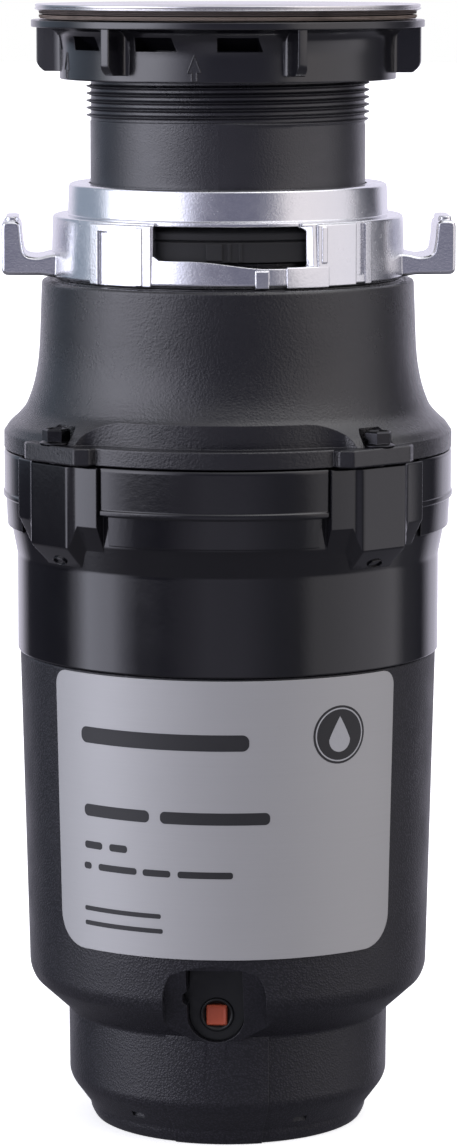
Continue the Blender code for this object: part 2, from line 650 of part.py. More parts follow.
def impellers():
    """Two lugs that swing out on their pins: a heavy nose, a thin heel and a bore."""
    for number, side in enumerate((-1, 1), 1):
        outline = [(-7.0, -4.0), (-4.5, -6.6), (4.0, -6.8), (IMPELLER_REACH - 2.0, -6.0),
                   (IMPELLER_REACH, -3.0), (IMPELLER_REACH, 4.0), (IMPELLER_REACH - 3.0, 7.0), (-4.0, 6.6),
                   (-7.0, 4.0)]
        lug = add_piece(f"impeller_{number}", prism(outline, PLATE_TOP + GAP, 216.0), STAINLESS,
                        (IMPELLER_PIVOT_R * side, 0.0, 0.0), 90.0 + 90.0 * -side)
        cut(lug, rod(IMPELLER_BORE_R, 200.0, 220.0))
        cut(lug, box((4.5, 20.0), (-10.0, 10.0), (213.4, 220.0)))


def bearings():
    """The sleeve bearings and the seal that the shaft runs in."""
    add_piece("upper_bearing", tube(SHAFT_R + 0.08, 11.1, 166.4, 176.2, 24), ZINC_STEEL)
    add_piece("shaft_seal", tube(SHAFT_R + 0.08, 6.8, 178.0, 191.0, 24), RUBBER_BLACK)
    add_piece("lower_bearing", tube(5.08, 9.6, 47.7, 58.4, 24), ZINC_STEEL)


def magnet_motor():
    """The fixed half of the motor: flux ring, two magnets, end bell, sprung brushes and long screws."""
    add_piece("flux_ring", tube(FLUX_R, FLUX_OUTER_R, 64.5, 163.9), LAMINATED_STEEL)
    magnet = [(MAGNET_R, 90.0), (FLUX_R - 0.6, 90.0), (FLUX_R - 0.6, 138.0), (MAGNET_R, 138.0)]
    for number, side in enumerate((90.0, 270.0), 1):
        add_piece(f"magnet_{number}", sector(magnet, side, 66.0, 12), FERRITE)
    bell = turned([(6.6, 46.0), (13.0, 46.0), (13.0, 58.0), (16.0, 60.6), (57.5, 60.6), (57.5, 64.2),
                   (14.0, 64.2), (9.9, 60.0), (9.9, 47.4), (6.6, 47.4)])
    end_bell = add_piece("lower_end_bell", bell, CAST_ALUMINIUM)
    for number, side in enumerate((-1, 1), 1):
        holder = box((18.5 * side, 34.0 * side), (-5.0, 5.0), (67.0, 80.0))
        brush_holder = add_piece(f"brush_holder_{number}", holder, FERRITE)
        cut(brush_holder, box((10.0 * side, 33.0 * side), (-3.4, 3.4), (69.0, 78.0)))
        add_piece(f"brush_{number}", box((14.3 * side, 27.0 * side), (-3.1, 3.1), (69.3, 77.7)), CARBON)
        spring = coil(0.35, 2.2, 27.5, 32.6, 4)
        spring = add_piece(f"brush_spring_{number}", spring, ZINC_STEEL, (0.0, 0.0, 73.5))
        spring.rotation_euler = (0.0, math.radians(90 * side), 0.0)
        x, y = on_circle(MOTOR_SCREW_CIRCLE_R, 90 + 90 * side)
        cut(end_bell, hole(2.2, 56.0, 70.0, x, y))
        screw = turned([(0.0, 56.6), (3.6, 56.6), (3.6, 60.3), (1.8, 60.3), (1.8, 168.0), (0.0, 168.0)], 12)
        add_piece(f"motor_screw_{number}", moved(screw, x, y), ZINC_STEEL)


def recess_outline():
    """The reset recess seen from the front: a square top over a half-round bottom, as (x, z)."""
    bottom = [on_circle(RECESS_HALF, 180 + 180 * step / 10) for step in range(11)]
    sides = [(x, z + BUTTON_Z + 0.3) for x, z in bottom]
    return sides + [(RECESS_HALF, RECESS_TOP), (-RECESS_HALF, RECESS_TOP)]


def facing_front(outline, front_y, back_y):
    """A prism whose outline is seen from the front, between two depths."""
    bm = prism([(x, z) for x, z in outline], -back_y, -front_y)
    bm.transform(Matrix.Rotation(math.radians(90), 4, "X"))
    return bm


def facing_side(outline, half_width):
    """A prism whose outline is seen from the side as (y, z), centred on the plane x = 0."""
    bm = bmesh.new()
    rings = [[bm.verts.new((x, y, z)) for y, z in outline] for x in (-half_width, half_width)]
    for index in range(len(outline)):
        bm.faces.new((rings[0][index - 1], rings[0][index], rings[1][index], rings[1][index - 1]))
    bm.faces.new(rings[0])
    bm.faces.new(rings[1])
    return bm


def lower_shell():
    """Textured lower cover: tapered can, chamfer, narrow step and base ring, with the reset recess."""
    profile = [(28.0, 0.0), (BASE_R, 0.0), (42.0, 4.4), (47.2, STEP_LOW), (STEP_R, 14.0), (48.3, STEP_TOP),
               (59.4, SHELL_LOW - 0.4), (SHELL_LOW_R, SHELL_LOW + 1.6), (SHELL_TOP_R, SEAM),
               (SHELL_TOP_R - WALL, SEAM), (SHELL_LOW_R - WALL, SHELL_LOW + 2.0), (46.0, 36.4), (45.6, 12.6),
               (40.0, 5.2), (39.6, 2.8), (28.0, 2.8)]
    shell = add_piece("lower_shell", turned(profile), TEXTURED_BLACK)
    side_view = [(-38.0, 0.0), (-42.0, 0.0), (-42.4, 4.4), (-48.0, STEP_LOW), (PANEL_LOW_Y, PANEL_LOW),
                 (-59.0, 55.7), (-54.0, 59.6), (-43.4, 50.0), (-43.4, 14.0), (-38.0, 5.6)]
    join(shell, facing_side(side_view, PANEL_HALF))
    slope = (PANEL_TOP_Y - PANEL_LOW_Y) / (PANEL_TOP - PANEL_LOW)
    over = PANEL_TOP + 6.0
    over_y = PANEL_LOW_Y + slope * (over - PANEL_LOW)
    in_front = [(PANEL_LOW_Y, PANEL_LOW), (-80.0, PANEL_LOW), (-80.0, over), (over_y, over)]
    cut(shell, facing_side(in_front, PANEL_HALF + 0.01))
    cut(shell, facing_front(recess_outline(), -75.0, RECESS_FLOOR_Y))
    guide = BUTTON_HALF + 0.4
    cut(shell, box((-guide, guide), (-52.0, -40.0), (BUTTON_Z - guide, BUTTON_Z + guide)))


def base_pieces():
    """The wiring cover in the base with its two screws, the overload switch and its reset button."""
    cover = add_piece("wiring_cover", rod(27.6, 0.0, 2.4, ROUND_STEPS), BLACK_STEEL)
    cut(cover, hole(9.0, -2.0, 5.0, -15.0, 0.0, 24))
    screws = (("cover_screw", 19.0, 9.0, ZINC_STEEL), ("ground_screw", 19.0, -9.0, GROUND_GREEN))
    for name, x, y, finish in screws:
        cut(cover, hole(2.2, -2.0, 5.0, x, y))
        cut(cover, hole(4.4, -2.0, 1.1, x, y, 16))
        screw = pan_screw(4.0, 0.8, 1.9, 8.0)
        screw.transform(Matrix.Rotation(math.pi, 4, "X"))
        add_piece(name, moved(screw, x, y, 0.9), finish)
    switch = box((-11.0, 11.0), (SWITCH_FRONT_Y, -26.0), (29.0, 46.6))
    overload_switch = add_piece("overload_switch", switch, FERRITE)
    cut(overload_switch, box((-2.6, 2.6), (SWITCH_FRONT_Y - 2, -36.0), (BUTTON_Z - 2.6, BUTTON_Z + 2.6)))
    button = box((-BUTTON_HALF, BUTTON_HALF), (BUTTON_FRONT_Y, BUTTON_BACK_Y), (-BUTTON_HALF, BUTTON_HALF))
    reset_button = add_piece("reset_button", button, BUTTON_RED, (0.0, 0.0, BUTTON_Z))
    join(reset_button, box((-2.2, 2.2), (BUTTON_BACK_Y - 0.7, -39.0), (-2.2, 2.2)))
    board = box((-14.0, 14.0), (24.0, 26.0), (8.0, 28.0))
    add_piece("rectifier_board", board, BOARD_GREEN)


def label():
    """Thin plate wrapped round the front of the lower shell, following its taper."""
    def shell_r(z):
        share = (z - SHELL_LOW - 1.6) / (SEAM - SHELL_LOW - 1.6)
        return SHELL_LOW_R + (SHELL_TOP_R - SHELL_LOW_R) * share + 0.2

    low = 60.5
    high = 142.9
    inner = [(shell_r(low), low), (shell_r(high), high)]
    outer = [(r + 0.5, z) for r, z in reversed(inner)]
    add_piece("label", sector(inner + outer, 2.6, 53.3, 16), LABEL_GREY)


def main():
    clear_scene()
    sink_flange()
    sink_flange_throat()
    splash_guard()
    gaskets()
    mounting_nut()
    mounting_ring()
    cushion_mount()
    hopper()
    inlet_plug()
    grind_ring()
    motor_housing()
    clamp_bolts()
    drain_fitting()
    rotor(add_pivot("rotor_axis", (0.0, 0.0, 0.0)))
    impellers()
    bearings()
    magnet_motor()
    lower_shell()
    base_pieces()
    label()


main()
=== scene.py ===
import json
import math

import bmesh
import bpy
from mathutils import Matrix, Vector


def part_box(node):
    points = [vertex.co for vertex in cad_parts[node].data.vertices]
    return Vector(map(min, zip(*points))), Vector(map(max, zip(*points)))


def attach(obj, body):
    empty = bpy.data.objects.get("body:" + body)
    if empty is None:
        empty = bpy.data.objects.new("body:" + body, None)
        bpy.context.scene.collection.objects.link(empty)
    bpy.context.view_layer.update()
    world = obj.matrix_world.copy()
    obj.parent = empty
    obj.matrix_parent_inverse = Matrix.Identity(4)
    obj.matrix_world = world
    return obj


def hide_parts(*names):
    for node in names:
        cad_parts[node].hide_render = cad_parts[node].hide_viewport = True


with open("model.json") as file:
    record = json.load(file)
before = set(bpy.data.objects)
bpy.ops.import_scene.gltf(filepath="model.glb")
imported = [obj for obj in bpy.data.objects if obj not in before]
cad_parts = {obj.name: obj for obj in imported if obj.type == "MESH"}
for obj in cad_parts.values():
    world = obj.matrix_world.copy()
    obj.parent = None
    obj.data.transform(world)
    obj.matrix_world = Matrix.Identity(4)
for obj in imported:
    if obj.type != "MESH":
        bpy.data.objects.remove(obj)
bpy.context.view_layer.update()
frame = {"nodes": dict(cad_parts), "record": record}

# Looks of a kitchen garbage disposal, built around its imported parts. Lengths are in millimetres, and each
# mesh is scaled to metres as it is made. Angles go round the axis in degrees, from the front (-Y) towards
# +X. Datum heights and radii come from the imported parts' boxes.

MM = 0.001
ROUND_STEPS = 144
FINE_STEPS = 216


def lowest(node):
    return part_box(node)[0] / MM


def highest(node):
    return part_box(node)[1] / MM


# Datums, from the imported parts.
RIM_TOP = highest("sink_flange").z
RIM_R = highest("sink_flange").x
FUNNEL_LOW = lowest("sink_flange").z
SEAL_LOW, SEAL_TOP = lowest("rim_gasket").z, highest("rim_gasket").z
FIBRE_LOW, FIBRE_TOP = lowest("fibre_gasket").z, highest("fibre_gasket").z
SEAL_R = highest("rim_gasket").x
NUT_LOW, NUT_TOP = lowest("mounting_nut").z, highest("mounting_nut").z
NUT_RIM_R = highest("mounting_nut").x
TUBE_LOW, TUBE_TOP = lowest("sink_flange_throat").z, highest("sink_flange_throat").z
GUARD_LOW, GUARD_TOP = lowest("splash_guard").z, highest("splash_guard").z
GUARD_R = highest("splash_guard").x
RING_LOW, RING_TOP = lowest("mounting_ring").z, highest("mounting_ring").z
CUSHION_LOW, CUSHION_TOP = lowest("cushion_mount").z, highest("cushion_mount").z
HOPPER_LOW, NECK_TOP = lowest("hopper").z, highest("hopper").z
HOUSING_LOW = lowest("motor_housing").z
SHELL_TOP = highest("lower_shell").z
LABEL_LOW, LABEL_TOP = lowest("label").z, highest("label").z
BUTTON = (lowest("reset_button") + highest("reset_button")) / 2
BUTTON_FRONT = lowest("reset_button").y
PORT_Z = (lowest("drain_plate").z + highest("drain_plate").z) / 2
PLATE_LOW_Y, PLATE_HIGH_Y = lowest("drain_plate").y, highest("drain_plate").y
ELBOW_LOW, ELBOW_START_Y = lowest("drain_elbow").z, lowest("drain_elbow").y
INLET_Z = (lowest("inlet_plug").z + highest("inlet_plug").z) / 2
# Values that the boxes don't tell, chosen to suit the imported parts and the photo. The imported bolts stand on
# a circle of 64 mm radius, and the photo suggests about 67.
BOLT_CIRCLE_R = 66.0
BOLT_ANGLES = (45.0, 135.0, 225.0, 315.0)
BOLT_HEAD = 4.4
RING_TURN = 5.6
NUT_RIB_TURN = 25.8
THREAD_PITCH = 2.13
INLET_TURN = 148.0
PORT_FACE_Y = PLATE_LOW_Y - 5.0
DRAIN_SCREW_XS = (-26.0, 26.0)
WIRING_SCREW_X, WIRING_SCREW_Y = 19.0, 9.0


# Camera, floor and light.


def camera():
    """The view from the front, a little to the right and above the top, tilted down."""
    data = bpy.data.cameras.new("camera")
    data.lens = 140.93
    data.sensor_width = 36.0
    data.shift_x = 0.001
    data.clip_start = 0.05
    data.clip_end = 60.0
    seen_from, tilt = math.radians(3.9), 8.0
    away, up = 1.3386, 0.3535
    view = bpy.data.objects.new("camera", data)
    view.location = (away * math.sin(seen_from), -away * math.cos(seen_from), up)
    view.rotation_euler = (math.radians(90.0 - tilt), 0.0, seen_from)
    bpy.context.scene.collection.objects.link(view)
    bpy.context.scene.camera = view


class Tree:
    """A node tree under construction."""

    def __init__(self, owner):
        owner.use_nodes = True
        self.nodes = owner.node_tree.nodes
        self.links = owner.node_tree.links

    def fill(self, node, sockets):
        """Gives a node's sockets their values, or links them to other nodes' outputs."""
        for name, value in sockets.items():
            socket = node.inputs[name]
            if isinstance(value, bpy.types.NodeSocket):
                self.links.new(value, socket)
            else:
                socket.default_value = (*value, 1) if socket.type == "RGBA" else value

    def add(self, kind, sockets=None, output=0, **fields):
        """Makes a node and returns one of its outputs."""
        node = self.nodes.new("ShaderNode" + kind)
        for field, value in fields.items():
            setattr(node, field, value)
        self.fill(node, sockets or {})
        return node.outputs[output] if node.outputs else node

    def math(self, operation, first, second=0.0):
        return self.add("Math", {0: first, 1: second}, operation=operation)

    def axes(self, vector):
        """The X, Y and Z of a vector, by name."""
        return self.add("SeparateXYZ", {0: vector}).node.outputs

    def remap(self, value, from_low, from_high, to_low=0.0, to_high=1.0, curve="LINEAR"):
        limits = {"From Min": from_low, "From Max": from_high, "To Min": to_low, "To Max": to_high}
        return self.add("MapRange", {"Value": value, **limits}, interpolation_type=curve)

    def mix(self, first, second, share):
        return self.add("Mix", {"A": first, "B": second, "Factor": share}, "Result", data_type="RGBA")

    def show(self, kind, to_camera, to_light):
        """Ends the tree: the camera sees one shader, and reflections and bounces see another."""
        chosen = {0: self.add("LightPath", output="Is Camera Ray"), 1: to_light, 2: to_camera}
        self.add(kind, {0: self.add("MixShader", chosen)})


def floor():
    """A pale floor. Only the camera sees it, so the light from below the horizon passes through."""
    bm = bmesh.new()
    bmesh.ops.create_grid(bm, x_segments=8, y_segments=8, size=12.0)
    mesh = bpy.data.meshes.new("floor")
    bm.to_mesh(mesh)
    bm.free()
    ground = bpy.data.objects.new("floor", mesh)
    bpy.context.scene.collection.objects.link(ground)
    material = bpy.data.materials.new("floor_white")
    tree = Tree(material)
    tree.nodes.clear()
    bright = tree.add("BsdfDiffuse", {"Color": (0.9, 0.9, 0.9)})
    glow = tree.add("Emission", {"Strength": 0.62})
    tree.show("OutputMaterial", tree.add("AddShader", {0: bright, 1: glow}), tree.add("BsdfTransparent"))
    mesh.materials.append(material)


# Azimuth in degrees, then red, green and blue, of the soft light that stands round the object: the boxes
# that vertical glossy walls mirror, and the wider ones a little higher.
BEHIND = (0.3, 0.29, 0.34)
GAP = (0.015, 0.015, 0.02)
STUDIO_LOW = (
    (-180, BEHIND), (-150, BEHIND), (-136, GAP), (-94, GAP), (-86, (0.3, 0.3, 0.35)),
    (-78, (0.84, 0.85, 0.99)), (-62, (0.7, 0.7, 0.82)), (-54, (0.3, 0.3, 0.36)), (-46, (0.05, 0.05, 0.065)),
    (-31, (0.025, 0.025, 0.035)), (-19, (0.09, 0.087, 0.107)), (-7, (0.14, 0.137, 0.165)),
    (12, (0.13, 0.127, 0.155)), (30, (0.07, 0.07, 0.085)), (43, (0.06, 0.06, 0.07)),
    (52, (0.22, 0.215, 0.23)), (80, (0.3, 0.29, 0.315)), (106, (0.32, 0.31, 0.335)),
    (116, (0.06, 0.06, 0.07)), (136, GAP), (150, BEHIND), (180, BEHIND))
STUDIO_HIGH = (
    (-180, BEHIND), (-150, BEHIND), (-136, (0.1, 0.12, 0.15)), (-100, (0.1, 0.12, 0.15)),
    (-90, (0.4, 0.42, 0.47)), (-80, (0.93, 0.93, 1.06)), (-44, (0.93, 0.93, 1.06)),
    (-28, (0.4, 0.4, 0.48)), (-18, (0.08, 0.08, 0.105)), (-4, (0.05, 0.05, 0.07)),
    (16, (0.055, 0.055, 0.077)), (30, (0.06, 0.06, 0.08)), (38, (0.1, 0.1, 0.12)),
    (46, (0.34, 0.32, 0.33)), (60, (0.34, 0.32, 0.33)), (100, (0.3, 0.29, 0.31)), (112, (0.07, 0.07, 0.08)),
    (136, GAP), (150, BEHIND), (180, BEHIND))
STUDIO_OVERHEAD = (
    (-180, (0.3, 0.3, 0.32)), (-100, (0.2, 0.2, 0.22)), (-30, (0.2, 0.2, 0.22)), (20, (0.45, 0.45, 0.47)),
    (50, (0.75, 0.74, 0.76)), (90, (0.75, 0.74, 0.76)), (140, (0.3, 0.3, 0.32)), (180, (0.3, 0.3, 0.32)))
STUDIO_BELOW = (0.06, 0.059, 0.07)
STUDIO_STRENGTH = 3.0
# The direction's Z where one tier of light turns into the next.
LOW_TO_HIGH = (-0.125, -0.08)
HIGH_TO_OVERHEAD = (0.42, 0.75)
LOW_TO_BELOW = (-0.24, -0.46)


def colour_ramp(tree, share, stops):
    """A ramp over azimuth, from a list of stops in degrees."""
    colour = tree.add("ValToRGB", {"Fac": share})
    elements = colour.node.color_ramp.elements
    for index, (turn, shade) in enumerate(stops):
        stop = elements[index] if index < 2 else elements.new(1.0)
        stop.position = (turn + 180) / 360
        stop.color = (*shade, 1)
    return colour


def studio():
    """White behind everything, and a ring of soft boxes: a bright one to the left, a dimmer to the right."""
    world = bpy.data.worlds.new("studio")
    bpy.context.scene.world = world
    tree = Tree(world)
    tree.nodes.clear()
    away = tree.axes(tree.add("TexCoord", output="Generated"))
    azimuth = tree.math("ARCTAN2", away["X"], tree.math("MULTIPLY", away["Y"], -1.0))
    share = tree.remap(azimuth, -math.pi, math.pi)
    low, high, overhead = [colour_ramp(tree, share, stops)
                           for stops in (STUDIO_LOW, STUDIO_HIGH, STUDIO_OVERHEAD)]
    colour = tree.mix(low, high, tree.remap(away["Z"], *LOW_TO_HIGH))
    colour = tree.mix(colour, overhead, tree.remap(away["Z"], *HIGH_TO_OVERHEAD, curve="SMOOTHSTEP"))
    colour = tree.mix(colour, STUDIO_BELOW, tree.remap(away["Z"], *LOW_TO_BELOW, curve="SMOOTHSTEP"))
    lit = tree.add("Background", {"Color": colour, "Strength": STUDIO_STRENGTH})
    tree.show("OutputWorld", tree.add("Background", {"Color": (1.0, 1.0, 1.0)}), lit)
    bpy.context.scene.view_settings.view_transform = "Standard"


# Materials.


class Finish(Tree):
    """A procedural surface built up on one Principled shader."""

    def __init__(self, name, roughness, metallic=0.0, coat=0.0, coat_roughness=0.08, specular=0.5):
        self.material = bpy.data.materials.new(name)
        super().__init__(self.material)
        self.shader = self.nodes["Principled BSDF"]
        self.fill(self.shader, {"Roughness": roughness, "Metallic": metallic, "IOR": 1.5, "Coat Weight": coat,
                                "Coat Roughness": coat_roughness, "Specular IOR Level": specular})
        self.place = self.add("TexCoord", output="Object")
        self.normal = None
        self.near_edge = None

    def scaled(self, factors):
        """Object coordinates times a factor on each axis."""
        return self.add("VectorMath", {0: self.place, 1: factors}, operation="MULTIPLY")

    def round_the_axis(self, across, along):
        """Coordinates that change fast with radius and height and slowly round the axis."""
        spot = self.axes(self.place)
        square = self.math("ADD", self.math("MULTIPLY", spot["X"], spot["X"]),
                           self.math("MULTIPLY", spot["Y"], spot["Y"]))
        radius = self.math("MULTIPLY", self.math("SQRT", square), across)
        height = self.math("MULTIPLY", spot["Z"], across)
        both = self.add("CombineXYZ", {"X": radius, "Z": height})
        return self.add("VectorMath", {0: both, 1: self.scaled((along, along, 0.0))}, operation="ADD")

    def noise(self, scale, detail=4.0, rough=0.6, vector=None):
        grain = {"Vector": vector or self.place, "Scale": scale, "Detail": detail, "Roughness": rough}
        return self.add("TexNoise", grain, "Fac")

    def cells(self, scale):
        return self.add("TexVoronoi", {"Vector": self.place, "Scale": scale}, "Distance", feature="F1")

    def colour(self, first, second, share):
        """Colours the surface between two colours by a share. A socket may stand for the first colour."""
        mixed = self.mix(first, second, share)
        self.fill(self.shader, {"Base Color": mixed})
        return mixed

    def worn_and_highlit(self, dark, light, share, wear_and_highlight_colour, wear_and_highlight_share):
        """Colours the surface between two colours, and turns its edges towards a third: partly wear, partly a
        painted highlight on the edges.
        """
        base = self.colour(dark, light, share)
        # The edge colour is partly wear and partly a painted highlight along the edges.
        self.colour(base, wear_and_highlight_colour, self.math("MULTIPLY", self.near_edge, wear_and_highlight_share))

    def rough(self, value):
        self.fill(self.shader, {"Roughness": value})

    def rough_by(self, noise, low, high):
        """Lets the roughness follow a noise, most of which lies between 0.3 and 0.7."""
        self.rough(self.remap(noise, 0.3, 0.7, low, high))

    def soft_edges(self, radius):
        """Rounds the light on sharp edges, and keeps how near an edge each point is."""
        self.normal = self.add("Bevel", {"Radius": radius * MM}, samples=6)
        plain = self.add("NewGeometry", output="Normal")
        same = self.add("VectorMath", {0: self.normal, 1: plain}, "Value", operation="DOT_PRODUCT")
        self.fill(self.shader, {"Normal": self.normal})
        self.near_edge = self.remap(same, 0.99, 0.8)

    def bump(self, height, depth, strength=1.0):
        """Raises the surface by up to a depth in millimetres."""
        sockets = {"Height": height, "Distance": depth * MM, "Strength": strength}
        if self.normal:
            sockets["Normal"] = self.normal
        self.normal = self.add("Bump", sockets)
        self.fill(self.shader, {"Normal": self.normal, "Coat Normal": self.normal})


def tinted(shade, red, green, blue):
    return shade * red, shade * green, shade * blue


def black_plastic(name, shade, roughness, grain, depth, coat=0.0, specular=0.5):
    """Moulded plastic: a fine grain, faint mottling, smudges in its gloss and paler edges, partly scuffed wear
    and partly a painted highlight.
    """
    f = Finish(name, roughness, coat=coat, coat_roughness=0.05, specular=specular)
    f.soft_edges(0.35)
    mottle = f.noise(140, 5)
    # The edges are painted paler: partly wear, partly a painted highlight.
    f.worn_and_highlit(tinted(shade, 0.75, 0.74, 0.95), tinted(shade, 1.2, 1.15, 1.5), mottle,
           tinted(shade, 3.2, 3.1, 3.8), 0.35)
    smudge = f.noise(38, 6, 0.7)
    f.rough(f.remap(smudge, 0.3, 0.75, roughness * 0.8, roughness * 1.3))
    f.bump(f.noise(grain, 3, 0.65), depth)
    f.bump(f.noise(60, 2), depth * 2.0, 0.4)
    return f.material


def leather_plastic():
    """The lower shell's fine leather-like moulding grain: small pebbles with painted shade in the creases
    between them.
    """
    f = Finish("shell_leather_grain", 0.5)
    f.soft_edges(0.4)
    pebble = f.cells(1500)
    crease = f.remap(pebble, 0.15, 0.65, 1.0, 0.0)
    # Painted shade darkens the creases between the pebbles; the edges turn paler, partly wear and partly a
    # painted highlight.
    f.worn_and_highlit((0.006, 0.006, 0.0085), (0.018, 0.017, 0.023), crease, (0.045, 0.045, 0.05), 0.4)
    f.rough_by(f.noise(60, 5), 0.38, 0.5)
    f.bump(crease, 0.06)
    f.bump(f.noise(900, 4, 0.7), 0.03)
    f.bump(f.noise(120, 3), 0.05, 0.5)
    return f.material


def stainless():
    """Spun stainless steel: fine rings round the axis, soft smears and a painted highlight on its edges."""
    f = Finish("spun_stainless", 0.2, metallic=1.0)
    f.soft_edges(0.25)
    spun = f.noise(1.0, 3, 0.6, f.round_the_axis(5200.0, 30.0))
    base = f.colour((0.60, 0.59, 0.59), (0.74, 0.73, 0.73), spun)
    # A painted highlight: the colour turns bright near the edges.
    f.colour(base, (0.86, 0.86, 0.88), f.near_edge)
    smear = f.noise(60, 5, 0.7)
    f.rough(f.math("ADD", f.remap(spun, 0.3, 0.7, 0.12, 0.24), f.remap(smear, 0.3, 0.8, 0.0, 0.12)))
    f.bump(spun, 0.012)
    return f.material


def cast_aluminium():
    """Bright tumbled aluminium casting: a near mirror with a fine sandy skin, pits and paler edges, partly wear
    and partly a painted highlight.
    """
    f = Finish("tumbled_aluminium", 0.16, metallic=1.0)
    f.soft_edges(0.45)
    sand = f.noise(1500, 3, 0.6)
    patch = f.noise(90, 5, 0.65)
    # The edges are painted paler: partly wear, partly a painted highlight.
    f.worn_and_highlit((0.70, 0.71, 0.74), (0.86, 0.86, 0.88), patch, (0.95, 0.95, 0.96), 0.5)
    f.rough(f.math("ADD", f.remap(patch, 0.35, 0.7, 0.13, 0.26), f.remap(sand, 0.35, 0.75, 0.0, 0.08)))
    pit = f.remap(f.cells(700), 0.0, 0.22, 0.0, 1.0)
    f.bump(sand, 0.045, 0.8)
    f.bump(pit, 0.02, 0.25)
    f.bump(f.noise(150, 3), 0.06, 0.35)
    return f.material


def plain_metal(name, dark, light, roughness):
    """Machined or plated metal: a fine directionless grain and slightly paler edges, partly wear and partly a
    painted highlight.
    """
    f = Finish(name, roughness, metallic=1.0)
    f.soft_edges(0.2)
    stain = f.noise(180, 5, 0.65)
    # The edges are painted paler: partly wear, partly a painted highlight.
    f.worn_and_highlit(dark, light, stain, tuple(min(1.0, c * 1.5) for c in light), 0.6)
    f.rough_by(stain, roughness * 0.75, roughness * 1.35)
    f.bump(f.noise(900, 4, 0.7), 0.01)
    return f.material


def rubber():
    """Matt rubber: chalky bloom in patches over a fine moulded skin, and paler edges, partly wear and partly a
    painted highlight.
    """
    f = Finish("moulded_rubber", 0.7, specular=0.35)
    shade = 0.016
    f.soft_edges(0.35)
    bloom = f.noise(110, 6, 0.7)
    # The edges are painted paler: partly wear, partly a painted highlight.
    f.worn_and_highlit(tinted(shade, 0.8, 0.8, 0.8), tinted(shade, 1.9, 1.9, 2.0), bloom,
           tinted(shade, 3.0, 3.0, 3.0), 0.4)
    f.rough_by(bloom, 0.6, 0.82)
    f.bump(f.noise(1300, 4, 0.7), 0.02)
    return f.material


def fibre(name, dark, light):
    """Pressed fibre board: fine threads that lie round the ring, with darker layers between them."""
    f = Finish(name, 0.8, specular=0.3)
    f.soft_edges(0.12)
    layer = f.noise(1.0, 4, 0.65, f.round_the_axis(2600.0, 120.0))
    blotch = f.noise(90, 5, 0.7)
    base = f.colour(dark, light, layer)
    f.colour(base, tuple(c * 0.45 for c in dark), f.remap(blotch, 0.5, 0.75, 0.0, 0.6))
    f.rough_by(layer, 0.7, 0.9)
    f.bump(layer, 0.05)
    return f.material


def label_foil():
    """Satin grey foil: fine lines round the label, cloudy gloss and a very faint orange peel."""
    f = Finish("satin_label_foil", 0.5, metallic=0.3)
    f.soft_edges(0.2)
    line = f.noise(1.0, 3, 0.6, f.round_the_axis(3600.0, 40.0))
    cloud = f.noise(26, 4, 0.6)
    base = f.colour((0.42, 0.42, 0.415), (0.455, 0.455, 0.45), line)
    f.colour(base, (0.475, 0.475, 0.47), f.math("MULTIPLY", cloud, 0.5))
    f.rough_by(cloud, 0.46, 0.56)
    f.bump(line, 0.006)
    f.bump(f.noise(240, 2), 0.02, 0.5)
    return f.material


def print_ink(name, dark, light):
    """Screen printed ink: matt, with fine pinholes and slightly uneven cover."""
    f = Finish(name, 0.55)
    cover = f.noise(1400, 4, 0.7)
    f.colour(dark, light, cover)
    f.rough_by(cover, 0.45, 0.65)
    f.bump(cover, 0.01)
    return f.material


def painted(name, dark, light, roughness):
    """Coloured plastic or painted metal, with mottled colour and lighter edges, partly wear and partly a
    painted highlight.
    """
    f = Finish(name, roughness)
    f.soft_edges(0.2)
    patch = f.noise(260, 5, 0.65)
    # The edges are painted lighter: partly wear, partly a painted highlight.
    f.worn_and_highlit(dark, light, patch, tuple(min(1.0, c * 1.6 + 0.02) for c in light), 0.5)
    f.rough_by(patch, roughness * 0.8, roughness * 1.25)
    f.bump(f.noise(700, 3, 0.6), 0.012)
    return f.material


def laminated_steel():
    """Stacked motor laminations: thin sheets on edge, with dark varnish between them."""
    f = Finish("laminated_steel", 0.4, metallic=1.0)
    sheet = f.noise(1.0, 2, 0.5, f.scaled((60.0, 60.0, 2000.0)))
    f.colour((0.16, 0.16, 0.17), (0.42, 0.42, 0.44), sheet)
    f.rough_by(sheet, 0.3, 0.55)
    f.bump(sheet, 0.05)
    return f.material


def wound_copper():
    """Varnished copper wire: strands that run round the winding."""
    f = Finish("varnished_copper", 0.3, metallic=1.0, coat=0.3)
    strand = f.noise(1.0, 2, 0.5, f.round_the_axis(1500.0, 60.0))
    f.colour((0.35, 0.12, 0.05), (0.8, 0.38, 0.2), strand)
    f.rough_by(strand, 0.22, 0.42)
    f.bump(strand, 0.15)
    return f.material


# Solids. Each function returns a bmesh in millimetres.


def clamped(value):
    return min(1.0, max(0.0, value))


def eased(share):
    """A share that starts and ends slowly."""
    return share * share * (3 - 2 * share)


def at(radius, turn, height):
    """The point at a radius, an angle from the front and a height."""
    angle = math.radians(turn)
    return Vector((radius * math.sin(angle), -radius * math.cos(angle), height))


def filleted(points, reach=0.3, steps=2):
    """A closed outline with each corner rounded. A point may carry its own reach as a third value."""
    rounded = []
    count = len(points)
    for index, point in enumerate(points):
        here = Vector(point[:2])
        before = Vector(points[index - 1][:2]) - here
        after = Vector(points[(index + 1) % count][:2]) - here
        wanted = point[2] if len(point) > 2 else reach
        back = min(wanted, 0.45 * before.length, 0.45 * after.length)
        start = here + before.normalized() * back
        end = here + after.normalized() * back
        for step in range(steps + 1):
            share = step / steps
            first = start.lerp(here, share)
            rounded.append(first.lerp(here.lerp(end, share), share))
    return rounded


